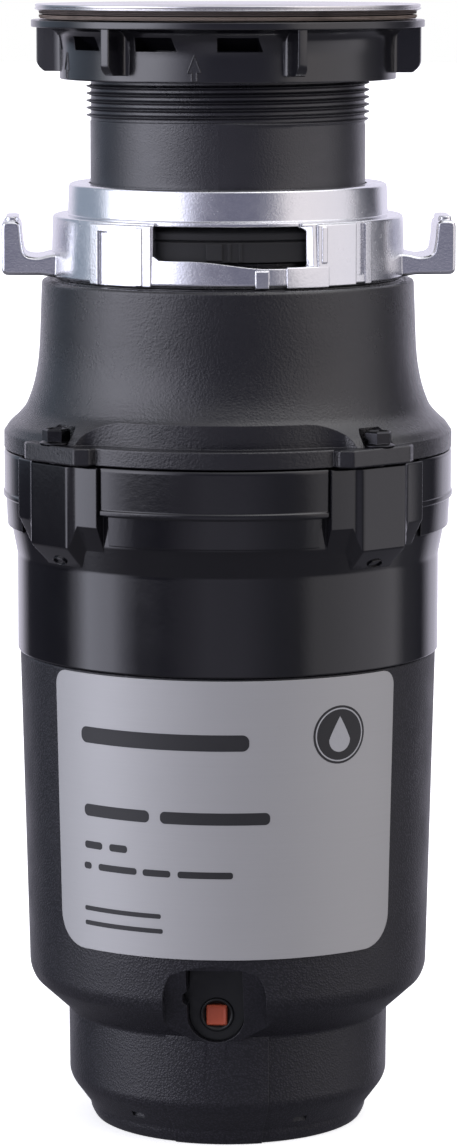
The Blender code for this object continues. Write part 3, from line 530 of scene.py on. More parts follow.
def wall(columns, is_open=None, wrap=True):
    """A closed shell through columns of points that run up its outside and back down its inside.

    A column has as many points on each side. In a shell that goes all the way round, is_open(i, j) tells
    whether the wall is left out between columns i and i + 1 and between rows j and j + 1.
    """
    bm = bmesh.new()
    rows = [[bm.verts.new(point) for point in column] for column in columns]
    count, sides = len(rows), len(rows[0])
    half = sides // 2
    for i in range(count if wrap else count - 1):
        a, b = rows[i], rows[(i + 1) % count]
        for j in range(sides):
            # The inside's rows go by the number of the outside's row behind which they lie.
            row = min(j, sides - 2 - j, half - 2) if j < sides - 1 else 0
            if not (is_open and is_open(i, row)):
                bm.faces.new((a[j], b[j], b[(j + 1) % sides], a[(j + 1) % sides]))
    if not wrap:
        bm.faces.new(rows[0])
        bm.faces.new(rows[-1])
    if is_open:
        for i, line in enumerate(rows):
            for j in range(half - 1):
                if is_open((i - 1) % count, j) != is_open(i, j):
                    bm.faces.new((line[j], line[j + 1], line[sides - 2 - j], line[sides - 1 - j]))
        for i, a in enumerate(rows):
            b = rows[(i + 1) % count]
            for j in range(1, half - 1):
                if is_open(i, j - 1) != is_open(i, j):
                    bm.faces.new((a[j], b[j], b[sides - 1 - j], a[sides - 1 - j]))
    bmesh.ops.remove_doubles(bm, verts=bm.verts, dist=1e-4)
    bmesh.ops.recalc_face_normals(bm, faces=bm.faces)
    return bm


def turned(outline, steps=ROUND_STEPS):
    return wall([[at(r, 360 * step / steps, z) for r, z in outline] for step in range(steps)])


def profile(inner, outer, low, high, lower=0.3, upper=0.3, rest=0.1, steps=2):
    """An outline between two radii and two heights, with rounded outer corners."""
    return filleted([(inner, low), (outer, low, lower), (outer, high, upper), (inner, high)], rest, steps)


def sector(outline, middle, half, steps=10):
    turns = [middle - half + 2 * half * step / steps for step in range(steps + 1)]
    return wall([[at(r, turn, z) for r, z in outline] for turn in turns], wrap=False)


def stacked(rings):
    """A solid through rings of points from bottom to top, closed at both ends."""
    bm = bmesh.new()
    loops = [[bm.verts.new(point) for point in ring] for ring in rings]
    for below, above in zip(loops, loops[1:]):
        for index in range(len(below)):
            bm.faces.new((below[index - 1], below[index], above[index], above[index - 1]))
    bm.faces.new(loops[0])
    bm.faces.new(loops[-1])
    bmesh.ops.remove_doubles(bm, verts=bm.verts, dist=1e-4)
    bmesh.ops.recalc_face_normals(bm, faces=bm.faces)
    return bm


def prism(outline, low, high, edge=0.0, steps=1):
    """An upright prism. With an edge, its top and bottom edges are chamfered, or rounded in some steps."""
    points = [Vector(point[:2]) for point in outline]
    doubled = sum(a.x * b.y - b.x * a.y for a, b in zip(points, points[1:] + points[:1]))
    inward = 1.0 if doubled > 0 else -1.0

    def ring(inset, z):
        drawn = []
        for index, here in enumerate(points):
            before = (here - points[index - 1]).normalized()
            after = (points[(index + 1) % len(points)] - here).normalized()
            side = Vector((-before.y - after.y, before.x + after.x)) * inward
            side = side.normalized() / max(0.5, math.sqrt(max(0.0, (1 + before.dot(after)) / 2)))
            drawn.append((*(here + side * inset), z))
        return drawn

    if not edge:
        return stacked([ring(0.0, low), ring(0.0, high)])
    turns = [math.pi / 2 * step / steps for step in range(steps + 1)]
    sides = [(edge * (1 - math.sin(turn)), edge * (1 - math.cos(turn))) for turn in turns]
    upper = [ring(inset, high - drop) for inset, drop in reversed(sides)]
    return stacked([ring(inset, low + rise) for inset, rise in sides] + upper)


def box(x, y, z):
    return prism([(x[0], y[0]), (x[1], y[0]), (x[1], y[1]), (x[0], y[1])], z[0], z[1])


def rod(radius, low, high, steps=48):
    turns = [2 * math.pi * step / steps for step in range(steps)]
    return prism([(radius * math.cos(turn), radius * math.sin(turn)) for turn in turns], low, high)


def moved(bm, x=0.0, y=0.0, z=0.0, turn=0.0):
    bm.transform(Matrix.Rotation(math.radians(turn), 4, "Z") @ Matrix.Translation((x, y, z)))
    return bm


def tipped(bm, angle, axis="X"):
    bm.transform(Matrix.Rotation(math.radians(angle), 4, axis))
    return bm


def set_back(bm, x=0.0, y=0.0):
    """Turns a solid's top to the back and lifts it to the drain's middle."""
    return moved(tipped(bm, -90), x, y, PORT_Z)


def in_inlet(bm):
    """Turns a solid's top outwards along the inlet."""
    return moved(moved(tipped(bm, 90), z=INLET_Z), turn=INLET_TURN)


def merged(*solids):
    """Several solids in one bmesh."""
    total = bmesh.new()
    for solid in solids:
        mesh = bpy.data.meshes.new("part")
        solid.to_mesh(mesh)
        solid.free()
        total.from_mesh(mesh)
        bpy.data.meshes.remove(mesh)
    return total


# Pieces.


def loose(name, bm):
    """An object made from a bmesh in millimetres, in metres."""
    bm.transform(Matrix.Scale(MM, 4))
    mesh = bpy.data.meshes.new(name)
    bm.to_mesh(mesh)
    bm.free()
    piece = bpy.data.objects.new(name, mesh)
    bpy.context.scene.collection.objects.link(piece)
    return piece


def weld(mesh):
    """Closes the hairline splits that a Boolean leaves."""
    bm = bmesh.new()
    bm.from_mesh(mesh)
    bmesh.ops.remove_doubles(bm, verts=bm.verts, dist=4e-7)
    bmesh.ops.dissolve_degenerate(bm, edges=bm.edges, dist=2e-7)
    bm.to_mesh(mesh)
    bm.free()


def combine(piece, operation, *solids):
    """Joins solids to a piece, or cuts them from it."""
    for solid in solids:
        tool = loose("tool", solid)
        modifier = piece.modifiers.new("tool", "BOOLEAN")
        modifier.operation = operation
        modifier.solver = "EXACT"
        modifier.object = tool
        made = bpy.data.meshes.new_from_object(piece.evaluated_get(bpy.context.evaluated_depsgraph_get()))
        weld(made)
        piece.modifiers.clear()
        old = piece.data
        piece.data = made
        bpy.data.meshes.remove(old)
        old = tool.data
        bpy.data.objects.remove(tool)
        bpy.data.meshes.remove(old)
    piece.data.name = piece.name


def shaped(solid, operation, *others):
    """A solid joined with, cut by or kept within others, as a bmesh."""
    piece = loose("shape", solid)
    combine(piece, operation, *others)
    shape = bmesh.new()
    shape.from_mesh(piece.data)
    shape.transform(Matrix.Scale(1 / MM, 4))
    mesh = piece.data
    bpy.data.objects.remove(piece)
    bpy.data.meshes.remove(mesh)
    return shape


def join(piece, *solids):
    combine(piece, "UNION", *solids)


def cut(piece, *solids):
    combine(piece, "DIFFERENCE", *solids)


def dress(piece, material, nodes=(), body="housing", sharp=32.0):
    """Gives a piece its finish, smooth shading and its body, and stands it for its CAD nodes."""
    piece.data.materials.clear()
    piece.data.materials.append(material)
    piece.data.shade_smooth()
    piece.data.set_sharp_from_angle(angle=math.radians(sharp))
    weighted = piece.modifiers.new("weighted", "WEIGHTED_NORMAL")
    weighted.keep_sharp = True
    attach(piece, body)
    if nodes:
        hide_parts(*nodes)
    return piece


def sink_flange(material):
    """The rim's rolled bead over a thin turned-down edge, and the funnel that lines the throat."""
    top = RIM_TOP
    outline = [(37.2, FUNNEL_LOW), (38.0, FUNNEL_LOW), (38.0, top - 5.0, 1.5), (38.6, top - 3.2, 0.8),
               (40.2, top - 1.7, 0.8), (RIM_R - 1.7, top - 1.7, 0.05), (RIM_R - 1.3, top - 2.0, 0.05),
               (RIM_R - 0.1, top - 1.5, 0.1), (RIM_R, top - 1.2, 0.1), (RIM_R - 0.6, top - 1.0, 0.08),
               (RIM_R - 0.2, top - 0.75, 0.2), (RIM_R - 0.2, top, 0.4), (RIM_R - 1.8, top, 1.0),
               (42.0, top - 0.6, 2.0), (38.6, top - 1.8, 1.2), (37.2, top - 4.6, 1.5)]
    trim = loose("flange_trim", turned(filleted(outline, 0.1, 3), 192))
    dress(trim, material, ["sink_flange"])


def gaskets(seal, board):
    """The seal under the rim, with a soft outer lip, and the fibre ring of three thin layers."""
    middle = (SEAL_LOW + SEAL_TOP) / 2
    lip = [(47.4, SEAL_LOW), (SEAL_R - 0.1, SEAL_LOW, 0.2), (SEAL_R - 0.1, middle - 0.08, 0.1),
           (SEAL_R - 0.45, middle, 0.05), (SEAL_R, middle + 0.08, 0.1), (SEAL_R, SEAL_TOP, 0.2),
           (47.4, SEAL_TOP)]
    dress(loose("flange_seal", turned(filleted(lip, 0.1))), seal, ["rim_gasket"])
    height = (FIBRE_TOP - FIBRE_LOW) / 3
    edge = [(47.4, FIBRE_LOW)]
    for layer in range(3):
        base = FIBRE_LOW + layer * height
        outer = SEAL_R - 0.3 if layer == 0 else SEAL_R
        edge += [(outer, base + 0.04), (outer, base + height - 0.06), (SEAL_R - 0.6, base + height - 0.01)]
    edge.append((47.4, FIBRE_TOP))
    ring = loose("fibre_ring", turned(filleted(edge, 0.05, 1)))
    dress(ring, board, ["fibre_gasket"], "clamp_ring")


def wing_nut(material):
    """The nut: a wide thin rim over a flared wall with slotted pockets, six ribs and raised arrows."""
    bore, wall_r = 42.35, 49.8
    low, top = NUT_LOW, NUT_TOP
    outline = [(bore, low), (wall_r, low, 0.5), (49.6, low + 8.6, 2.0), (50.2, low + 13.4, 2.4),
               (53.2, top - 2.1, 1.8), (NUT_RIM_R, top - 2.1, 0.3),
               (NUT_RIM_R, top, 0.35), (bore, top)]
    nut = loose("wing_nut", turned(filleted(outline, 0.15, 3), 180))
    for index in range(6):
        turn = NUT_RIB_TURN + 60 * index
        rib = [(57.4, -1.45), (57.4, 1.45), (51.6, 1.7), (50.2, 2.0), (49.4, 3.2), (48.0, 3.6),
               (48.0, -3.6), (49.4, -3.2), (50.2, -2.0), (51.6, -1.7)]
        outline = [(y, -x) for x, y in filleted(rib, 0.5, 2)]
        blade = prism(outline, low + 2.0, top - 1.6)
        trim = prism([(57.8, low + 1.6), (54.2, low + 1.6), (55.4, low + 2.3), (56.4, low + 3.2),
                      (57.1, low + 4.2), (57.4, low + 5.4), (57.8, low + 5.4)], -5.0, 5.0)
        trim = tipped(tipped(trim, 90), -90, "Z")
        join(nut, moved(shaped(blade, "DIFFERENCE", trim), turn=turn))
        if index == 0:
            continue
        for offset in (13.0, 41.8):
            left, right = turn + offset - 7.2, turn + offset + 7.2
            columns = []
            for step in range(9):
                share = step / 8
                lower = left + (right + 0.9 - left) * share
                upper = left + (right - 0.9 - left) * share
                columns.append([at(43.4, lower, low + 8.9), at(54.0, lower, low + 8.9),
                                at(54.0, upper, low + 12.9), at(48.3, upper, low + 12.9)])
            cut(nut, wall(columns, wrap=False))
    for turn in (-60, -120, 120, 180):
        join(nut, arrow(NUT_RIB_TURN + 27 + turn, low))
    dress(nut, material, ["mounting_nut"], "nut")


def arrow(turn, low):
    """The raised outline of an arrow that points up, on the nut's cylinder."""
    head = [Vector(p) for p in ((-1.9, 3.0), (0.0, 7.9), (1.9, 3.0), (0.75, 3.0), (0.75, 0.5), (-0.75, 0.5),
                                (-0.75, 3.0))]
    columns = []
    for index, here in enumerate(head):
        before = (here - head[index - 1]).normalized()
        after = (head[(index + 1) % len(head)] - here).normalized()
        side = Vector((-before.y - after.y, before.x + after.x)).normalized() * 0.15
        outer, inner = here + side, here - side
        columns.append([(outer.x, -49.95, outer.y + low), (inner.x, -49.95, inner.y + low),
                        (inner.x, -48.9, inner.y + low), (outer.x, -48.9, outer.y + low)])
    return moved(wall(columns), turn=turn)


def threaded_throat(material):
    """The threaded tube: one right-handed helix with narrow crests, and the lip that carries the ring."""
    crest, root = 42.0, 40.55
    steps, turns, start, run_out = 120, 13, 299.6, 0.35
    below = [(38.9, TUBE_LOW), (40.5, TUBE_LOW), (40.8, TUBE_LOW + 0.4), (40.8, 275.2), (44.2, 275.2),
             (44.4, 275.5), (44.4, 278.3), (44.2, 278.6), (40.8, 278.6)]
    shape = ((0.0, root + 0.25), (0.16, root), (0.5, root), (0.74, crest - 0.12), (0.8, crest),
             (0.88, crest - 0.12))
    above = [(40.8, 330.2), (40.8, 331.3), (46.8, 331.3), (47.0, 331.5), (47.0, 333.3), (46.8, TUBE_TOP),
             (40.7, TUBE_TOP), (38.9, 330.4), (38.9, 299.6), (36.0, 299.6), (35.8, 299.4), (35.8, 297.2),
             (36.0, 297.0), (38.9, 296.4)]
    columns = []
    for step in range(steps + 1):
        share = step / steps
        line = [at(r, 360 * share, z) for r, z in below]
        for turn in range(turns):
            for part, radius in shape:
                rise = clamped((turn + share) / run_out)
                fade = clamped((turns - turn - share) / run_out)
                depth = 40.8 + (radius - 40.8) * min(rise, fade)
                line.append(at(depth, 360 * share, start + THREAD_PITCH * (turn + share + part)))
        line += [at(r, 360 * share, z) for r, z in above]
        columns.append(line)
    # After one turn the last column meets the first a thread lower: each thread joins the next one.
    bm = bmesh.new()
    rows = [[bm.verts.new(point) for point in column] for column in columns]
    for a, b in zip(rows, rows[1:]):
        for j in range(len(a)):
            bm.faces.new((a[j - 1], b[j - 1], b[j], a[j]))
    first, teeth = len(below), len(shape)
    last = first + turns * teeth
    one, end = rows[0], rows[-1]
    for j in list(range(first)) + list(range(last + 1, len(one))):
        bm.faces.new((end[j - 1], one[j - 1], one[j], end[j]))
    for j in range(first, last - teeth - 1):
        bm.faces.new((end[j], one[j + teeth], one[j + teeth + 1], end[j + 1]))
    bm.faces.new([end[first - 1], one[first - 1]] + one[first:first + teeth + 1] + [end[first]])
    tail = last - teeth
    bm.faces.new([one[last - 1], one[last]] + [end[j] for j in range(last, tail - 2, -1)][:teeth + 2])
    bmesh.ops.remove_doubles(bm, verts=bm.verts, dist=1e-4)
    bmesh.ops.recalc_face_normals(bm, faces=bm.faces)
    tube = loose("threaded_throat", bm)
    dress(tube, material, ["sink_flange_throat"])


def baffle(material):
    """The rubber splash baffle: a thick rim, and a dished diaphragm slit into six curling flaps."""
    flaps, flap_steps, slit_half = 6, 16, 0.55
    turns = []
    for flap in range(flaps):
        for step in range(flap_steps + 1):
            share = step / flap_steps
            turns.append((flap * 60 + slit_half + (60 - 2 * slit_half) * step / flap_steps, share))
    shape = ((31.4, 2.4), (28.0, 1.9), (24.0, 1.6), (20.0, 1.4), (16.0, 1.1), (12.0, 0.7), (9.0, 0.4),
             (6.6, 0.15), (6.0, 0.1))
    columns = []
    for turn, share in turns:
        curl = math.sin(math.pi * share)
        top, under = [], []
        for radius, height in shape:
            inner = 1 - (radius - 6.0) / 25.4
            lift = GUARD_LOW - 0.9 + height + 1.2 * inner * (1 - curl)
            rib = 0.5 * (1 - abs(2 * share - 1) > 0.94) * (radius > 7)
            top.append((radius, lift + 1.7 + rib))
            under.append((radius, lift))
        outline = [(36.6, GUARD_LOW + 1.0), (GUARD_R, GUARD_LOW + 1.4), (GUARD_R, GUARD_TOP - 0.6),
                   (GUARD_R - 0.4, GUARD_TOP), (35.4, GUARD_TOP), (35.0, GUARD_TOP - 0.6), (34.4, 304.8),
                   (33.6, 304.0)] + top
        rises = ((35.8, 0.4), (35.0, 0.6), (34.6, 1.0), (34.2, 1.4), (33.8, 1.6), (33.4, 1.7), (33.0, 1.7),
                 (32.4, 1.6))
        below = [(radius, GUARD_LOW + rise) for radius, rise in rises] + under
        columns.append([at(r, turn, z) for r, z in outline + below[::-1]])
    rim_rows = 8

    def slit(i, j):
        return i % (flap_steps + 1) == flap_steps and j >= rim_rows

    guard = loose("splash_baffle", wall(columns, slit))
    dress(guard, material, ["splash_guard"], "guard")


def hook_solid(turn):
    """A hook: an arm that runs out low, a U-shaped throat and an upright post with a small cap."""
    low = RING_LOW + 1.2
    outline = [(48.0, 255.6), (52.0, 255.6, 1.5), (55.0, low, 1.5), (67.1, low, 2.2), (67.1, 272.2, 2.0),
               (61.5, 272.2, 2.0), (61.1, 266.6, 1.0), (60.4, 262.0, 3.0), (56.4, 261.4, 1.5),
               (52.6, 262.4, 1.5), (48.0, 262.4)]
    plate = prism(filleted(outline, 2.0, 5), -11.8, 11.8, 1.1, 4)
    plate = moved(tipped(plate, 90), turn=turn - 90)
    cap = prism(profile(62.0, 66.0, -9.6, 9.6, 1.8, 1.8, 1.8, 4), 271.3, 273.4, 0.6, 2)
    return plate, moved(cap, turn=turn - 90)


# The ring's raised pads: middle and half angle, radius, foot above the ring's lowest point and head.
RING_PADS = ((30.0, 7.3, 53.1, 0.0, 261.2), (14.7, 2.1, 52.95, 0.0, 260.2), (-33.1, 12.1, 53.0, 0.2, 272.9),
             (-24.9, 1.0, 53.4, 0.4, 272.3), (41.0, 7.5, 53.0, 0.3, 273.2), (54.6, 1.5, 52.9, 0.3, 273.0),
             (35.6, 0.9, 53.35, 262.0 - RING_LOW, 272.6))
# Its grooves: middle and half angle, radius, foot and head.
RING_GROOVES = ((-39.5, 2.1, 52.1, RING_LOW - 2.0, 270.8), (50.8, 2.0, 51.8, 258.0, 276.0))


def hook_ring(material):
    """The cast mounting ring: a collar, side blocks, two open windows over cam ramps, and two hooks."""
    low, top = RING_LOW, RING_TOP
    inner = 49.9
    outline = [(41.3, 279.0), (45.2, 279.0), (45.2, 272.8), (inner, 271.4), (inner, low), (51.9, low, 0.4),
               (52.6, low + 1.0, 0.4), (52.0, 273.6, 0.8), (47.6, 273.9, 0.35), (47.2, top - 0.5, 0.7),
               (46.4, top, 0.5), (41.3, top)]
    ring = loose("hook_ring", turned(filleted(outline, 0.2, 3), FINE_STEPS))
    for side in (0.0, 180.0):
        ramp = []
        first, last = -20.6, 28.6
        shallowing = [29.4, 30.4, 31.4, 32.2]
        for turn in [first + (last - first) * step / 24 for step in range(25)] + shallowing:
            share = clamped((turn + 9.0) / 27.0)
            corner = max(0.0, 1.0 - (turn - first) / 2.4)
            deep = 46.0 + 7.0 * max(0.0, (turn - last) / 3.6)
            sill = 262.9 - 2.2 * share * share * (3 - 2 * share) + 1.3 * corner * corner
            ramp.append([at(deep, turn + side, sill), at(60.0, turn + side, sill),
                         at(60.0, turn + side, 272.7), at(deep, turn + side, 272.7)])
        cut(ring, wall(ramp, wrap=False))
        shelf = [(50.6, 272.1), (60.0, 272.1), (60.0, 276.0), (50.6, 276.0)]
        cut(ring, sector(shelf, side + 4.0, 24.3, 24))
    for side in (0.0, 180.0):
        for middle, half, radius, foot, head in RING_PADS:
            pad = profile(50.6, radius, low + foot, head, 0.4, 0.6, steps=3)
            join(ring, sector(pad, middle + side, half, 12))
        for middle, half, radius, foot, head in RING_GROOVES:
            groove = filleted([(radius, foot), (56.0, foot), (56.0, head), (radius, head, 0.6)], 0.05, 3)
            cut(ring, sector(groove, middle + side, half, 6))
        ledge = profile(46.6, 50.4, low + 0.1, 258.1, rest=0.3)
        join(ring, sector(ledge, side + 90.0 + RING_TURN, 17.0, 12))
        join(ring, *hook_solid(90.0 + side + RING_TURN))
    dress(ring, material, ["mounting_ring"], "ring", 30.0)


def cushion(material):
    """The rubber cushion seen through the ring's windows, with its groove and two moulded lugs."""
    low, top = CUSHION_LOW, CUSHION_TOP
    outline = [(42.5, low), (48.7, low, 0.3), (48.7, low + 5.7, 0.2), (47.7, low + 6.1, 0.15),
               (48.7, low + 6.5, 0.2), (48.7, low + 8.5, 0.8), (44.6, low + 10.0, 0.4), (44.6, top, 0.4),
               (42.5, top)]
    ring = loose("rubber_cushion", turned(filleted(outline, 0.2, 3)))
    for side in (0.0, 180.0):
        lug = profile(47.0, 49.3, low + 0.5, low + 5.5, 0.5, 0.5)
        join(ring, sector(lug, side - 0.7, 2.7, 4))
        rib = profile(47.0, 49.0, low + 0.3, low + 5.6)
        join(ring, sector(rib, side + 4.4, 0.5, 2), sector(rib, side + 8.2, 0.5, 2))
    dress(ring, material, ["cushion_mount"])


def pocket_plan(half, deep, shallow, run):
    """Plan of the undercut above the flange, whose ends curve outwards over a run of angle."""
    edge = []
    steps = 40
    for step in range(steps + 1):
        turn = -half + 2 * half * step / steps
        share = max(0.0, (abs(turn) - (half - run)) / run)
        radius = deep + (shallow - deep) * (1 - math.sqrt(max(0.0, 1 - share * share)))
        edge.append(at(radius, turn, 0.0)[:2])
    outer = [at(76.0, half - 2 * half * step / 12, 0.0)[:2] for step in range(13)]
    return edge + outer


def feed_hopper(material):
    """The feed chamber: a flared wall, a flange with four lugs and undercuts, a neck and the inlet."""
    low = HOPPER_LOW
    band = low + 5.1
    outer = [(66.9, low, 0.25), (66.9, band - 0.3, 0.3), (66.3, band + 0.5, 0.5), (65.3, band + 2.1, 1.0),
             (63.0, band + 4.1, 1.6), (60.3, band + 7.0, 2.6), (58.0, band + 13.0, 3.0),
             (56.6, band + 20.0, 3.0), (56.1, band + 26.0, 3.0), (55.4, 254.3, 3.4), (53.0, 254.6, 0.4),
             (52.8, 254.0, 0.2), (51.6, 254.0, 0.2), (51.4, 254.9, 0.3), (50.0, 254.9, 0.3),
             (49.8, 254.1, 0.2), (45.6, 254.3, 0.6)]
    neck = [(45.6, NECK_TOP, 0.4), (43.0, NECK_TOP), (43.0, 252.2), (50.4, 252.2, 1.0), (53.4, 248.0, 1.0),
            (53.4, 216.2), (55.6, 216.2), (55.6, low)]
    hopper = loose("feed_hopper", turned(filleted(outer + neck, 0.3, 4), FINE_STEPS))
    for side in (0.0, 180.0):
        plan = pocket_plan(38.0, 60.6, 66.8, 12.0)
        cut(hopper, moved(prism(plan, band, 219.0), turn=side))
    for angle in BOLT_ANGLES:
        cut(hopper, moved(rod(5.6, band, band + 5.0, 40), 0.0, -BOLT_CIRCLE_R, 0.0, angle))
        pad = 1 if angle in (45.0, 225.0) else -1
        plan = [(-16.5, -58.0), (-16.5, -67.4), (-13.5, -70.6), (8.4, -70.6), (11.6, -68.6), (11.6, -58.0)]
        lug = moved(prism(filleted([(pad * x, y) for x, y in plan], 0.4, 2), low, band, 0.4), turn=angle)
        join(hopper, lug)
        cut(hopper, moved(rod(2.9, low - 2, band + 2, 24), 0.0, -BOLT_CIRCLE_R, 0.0, angle))
    for side in (90.0, 270.0):
        ear = profile(44.6, 49.3, 258.5, 261.4, rest=0.3)
        join(hopper, sector(ear, side + RING_TURN, 12.0, 10))
    pipe = filleted([(8.9, 53.5), (14.2, 53.5), (13.4, 58.6, 1.2), (11.2, 60.4, 0.8), (11.2, 68.4, 0.6),
                     (12.2, 70.0, 0.8), (11.2, 73.6, 1.0), (11.2, 80.0, 0.6), (8.9, 80.0, 0.3)], 0.05, 3)
    for operation, solid in (("DIFFERENCE", rod(8.8, 48.0, 62.0, 60)), ("UNION", turned(pipe, 64))):
        combine(hopper, operation, in_inlet(solid))
    dress(hopper, material, ["hopper"], sharp=34.0)


def inlet_plug(material):
    """The knock-out disc in the inlet, with its tear-out rim and a pull boss."""
    outline = filleted([(0.01, 56.5), (8.5, 56.5), (8.5, 59.0, 0.3), (7.4, 59.0, 0.2), (7.0, 58.0, 0.2),
                        (2.6, 58.4, 0.3), (2.2, 60.8, 0.4), (0.01, 61.0)], 0.1, 3)
    plug = loose("inlet_knockout", in_inlet(turned(outline, 48)))
    dress(plug, material, ["inlet_plug"])


def hex_ring(across, z, inset):
    """Six corners with small flats, so that a hexagon's vertical edges are blunt."""
    points = []
    radius = across / math.cos(math.radians(30)) - inset
    for side in range(6):
        for offset in (-4.0, 0.0, 4.0):
            angle = math.radians(30 + 60 * side + offset)
            reach = min(radius, (across - inset) / math.cos(math.radians(30 - abs(offset))))
            points.append((reach * math.cos(angle), reach * math.sin(angle), z))
    return points


def hopper_bolts(material):
    """Hexagon flange bolts: a sloped washer face, a chamfered head with a dished top."""
    for number, angle in enumerate(BOLT_ANGLES, 1):
        base = highest(f"clamp_bolt_{number}").z - BOLT_HEAD
        washer = [(0.01, base), (4.9, base, 0.15), (4.9, base + 0.35, 0.2), (3.4, base + 1.1, 0.2),
                  (0.01, base + 1.1)]
        flange = turned(filleted(washer, 0.1, 2), 48)
        rings = ((0.7, 0.0), (3.9, 0.0), (4.35, 0.45), (4.4, 1.1), (4.0, 1.6))
        head = stacked([hex_ring(3.6, base + rise, inset) for rise, inset in rings])
        shank = rod(2.0, base - 19.5, base + 0.4, 24)
        bolt = loose(f"hopper_bolt_{number}", flange)
        join(bolt, head, shank)
        spot = at(BOLT_CIRCLE_R, angle, 0.0) * MM
        bolt.data.transform(Matrix.Translation(spot) @ Matrix.Rotation(math.radians(angle + 12), 4, "Z"))
        dress(bolt, material, [f"clamp_bolt_{number}"])


def boss_columns():
    """A bolt boss, as angles with their outlines: a flat outer face between two shorter round flanks."""
    columns = []
    for step in range(-38, 39):
        turn = step * 0.4
        size = abs(turn)
        blend = eased(clamped((size - 6.4) / 2.4))
        flat = 68.9 / math.cos(math.radians(turn))
        face = flat + (68.2 - flat) * blend
        drop = eased(clamped((size - 6.8) / 2.8))
        foot = 179.8 + 6.6 * drop
        toe = 172.9 + 6.0 * drop
        inside = 62.4 + 1.6 * drop
        columns.append((turn, [(58.5, toe - 1.0), (inside, toe), (inside + 0.4, toe + 0.35),
                               (face - 0.5, foot - 0.4), (face, foot + 0.5), (face, 203.6),
                               (face - 0.35, 203.95), (58.5, 203.95)]))
    return columns


def glossy_housing(material):
    """The middle housing: four two-step pads, four bolt bosses, the drain port and a rim line."""
    low = HOUSING_LOW
    outer = [(60.5, low), (62.9, low, 0.1), (63.1, low + 0.3, 0.1), (63.1, 172.6, 0.6), (64.7, 180.9, 0.5),
             (65.0, 203.6, 0.2), (64.7, 204.15, 0.1)]
    inner = [(55.8, 204.15), (55.8, 176.0), (52.0, 172.0), (18.0, 172.0), (16.0, 174.0), (14.0, 192.0),
             (7.0, 192.0), (7.0, 176.6), (11.4, 176.6), (11.4, 166.0), (15.0, 166.0), (56.0, 167.4),
             (58.0, 165.0), (60.5, 160.0)]
    housing = loose("glossy_housing", turned(filleted(outer + inner, 0.3, 3), FINE_STEPS))
    upper = filleted([(62.0, 189.9), (66.9, 189.9, 0.15), (67.2, 190.3, 0.2), (67.2, 191.5, 0.3),
                      (66.85, 191.8, 0.15), (66.9, 203.2, 0.2),
                      (66.6, 204.0, 0.2), (62.0, 204.0)], 0.1, 3)
    lower = filleted([(62.0, 181.3), (66.0, 181.3, 0.35), (66.4, 190.1, 0.1), (62.0, 190.4)], 0.1, 3)
    bosses = boss_columns()
    marks = []
    for quarter in range(4):
        side = 90.0 * quarter
        join(housing, sector(lower, side + 0.07, 27.43, 29))
        join(housing, sector(upper, side + 0.05, 29.53, 31))
        boss = wall([[at(r, turn + side + 45, z) for r, z in column] for turn, column in bosses], wrap=False)
        join(housing, boss)
        mark = turned([(1.4, 0.0), (1.6, 0.0), (1.6, 0.7), (1.4, 0.7)], 32)
        mark.transform(Matrix.Diagonal((1.7, 1.0, 1.0, 1.0)))
        marks.append(moved(tipped(mark, 132), 0.0, -64.6, 175.5, side + 45.0))
    dress(loose("boss_marks", merged(*marks)), material)
    port = filleted([(-21.0, 55.0), (21.0, 55.0), (24.0, 62.0), (31.0, 66.0), (31.0, PORT_FACE_Y),
                     (-31.0, PORT_FACE_Y), (-31.0, 66.0), (-24.0, 62.0)], 1.2, 3)
    join(housing, prism(port, 170.0, 203.4, 0.5))
    cut(housing, set_back(rod(13.8, 48.0, 90.0, 64)))
    for x in DRAIN_SCREW_XS:
        cut(housing, set_back(rod(2.2, 64.0, 90.0, 24), x))
    for angle in BOLT_ANGLES:
        cut(housing, moved(rod(2.1, 184.0, 206.0, 24), 0.0, -BOLT_CIRCLE_R, 0.0, angle))
    dress(housing, material, ["motor_housing"], sharp=30.0)


def stand_back(piece, x, y):
    """Does the same as set_back for a piece, which is in metres."""
    place = Matrix.Translation((x * MM, y * MM, PORT_Z * MM))
    piece.data.transform(place @ Matrix.Rotation(math.radians(-90), 4, "X"))


def drain_fitting(seal, metal, plastic):
    """The drain at the back: seal, pressed clamp plate, two screws and the ribbed elbow."""
    ring = filleted([(15.6, 0.3), (20.0, 0.3, 0.4), (20.0, 2.3, 0.4), (15.6, 2.3, 0.4)], 0.3, 3)
    gasket = loose("drain_seal", set_back(turned(ring, 72), 0.0, PORT_FACE_Y))
    dress(gasket, seal, ["drain_gasket"])
    corner = [(31.0, 0.0), (31.0, 8.0), (25.0, 12.5), (15.0, 20.0), (8.0, 23.0)]
    upper = corner + [(-x, y) for x, y in reversed(corner[1:])]
    outline = upper + [(-31.0, 0.0)] + [(x, -y) for x, y in reversed(upper[1:])]
    clamp = loose("drain_clamp", prism(filleted(outline, 2.0, 3), 0.0, PLATE_HIGH_Y - PLATE_LOW_Y, 0.3))
    cut(clamp, rod(19.5, -5.0, 5.0, 64))
    for x in DRAIN_SCREW_XS:
        cut(clamp, moved(rod(2.3, -5.0, 5.0, 24), x))
    stand_back(clamp, 0.0, PLATE_LOW_Y)
    dress(clamp, metal, ["drain_plate"])
    for number, x in enumerate(DRAIN_SCREW_XS, 1):
        dome = filleted([(0.01, -12.0), (2.0, -12.0), (2.0, 0.0), (4.4, 0.0, 0.2), (4.4, 1.4, 0.6),
                         (3.0, 2.6, 0.8), (0.01, 3.0)], 0.1, 3)
        screw = loose(f"drain_bolt_{number}", turned(dome, 40))
        for turn in (20.0, 110.0):
            cut(screw, moved(box((-2.1, 2.1), (-0.45, 0.45), (1.6, 4.0)), turn=turn))
        stand_back(screw, x, PLATE_HIGH_Y + 0.3)
        dress(screw, metal, [f"drain_screw_{number}"])
    drain_bend(plastic)


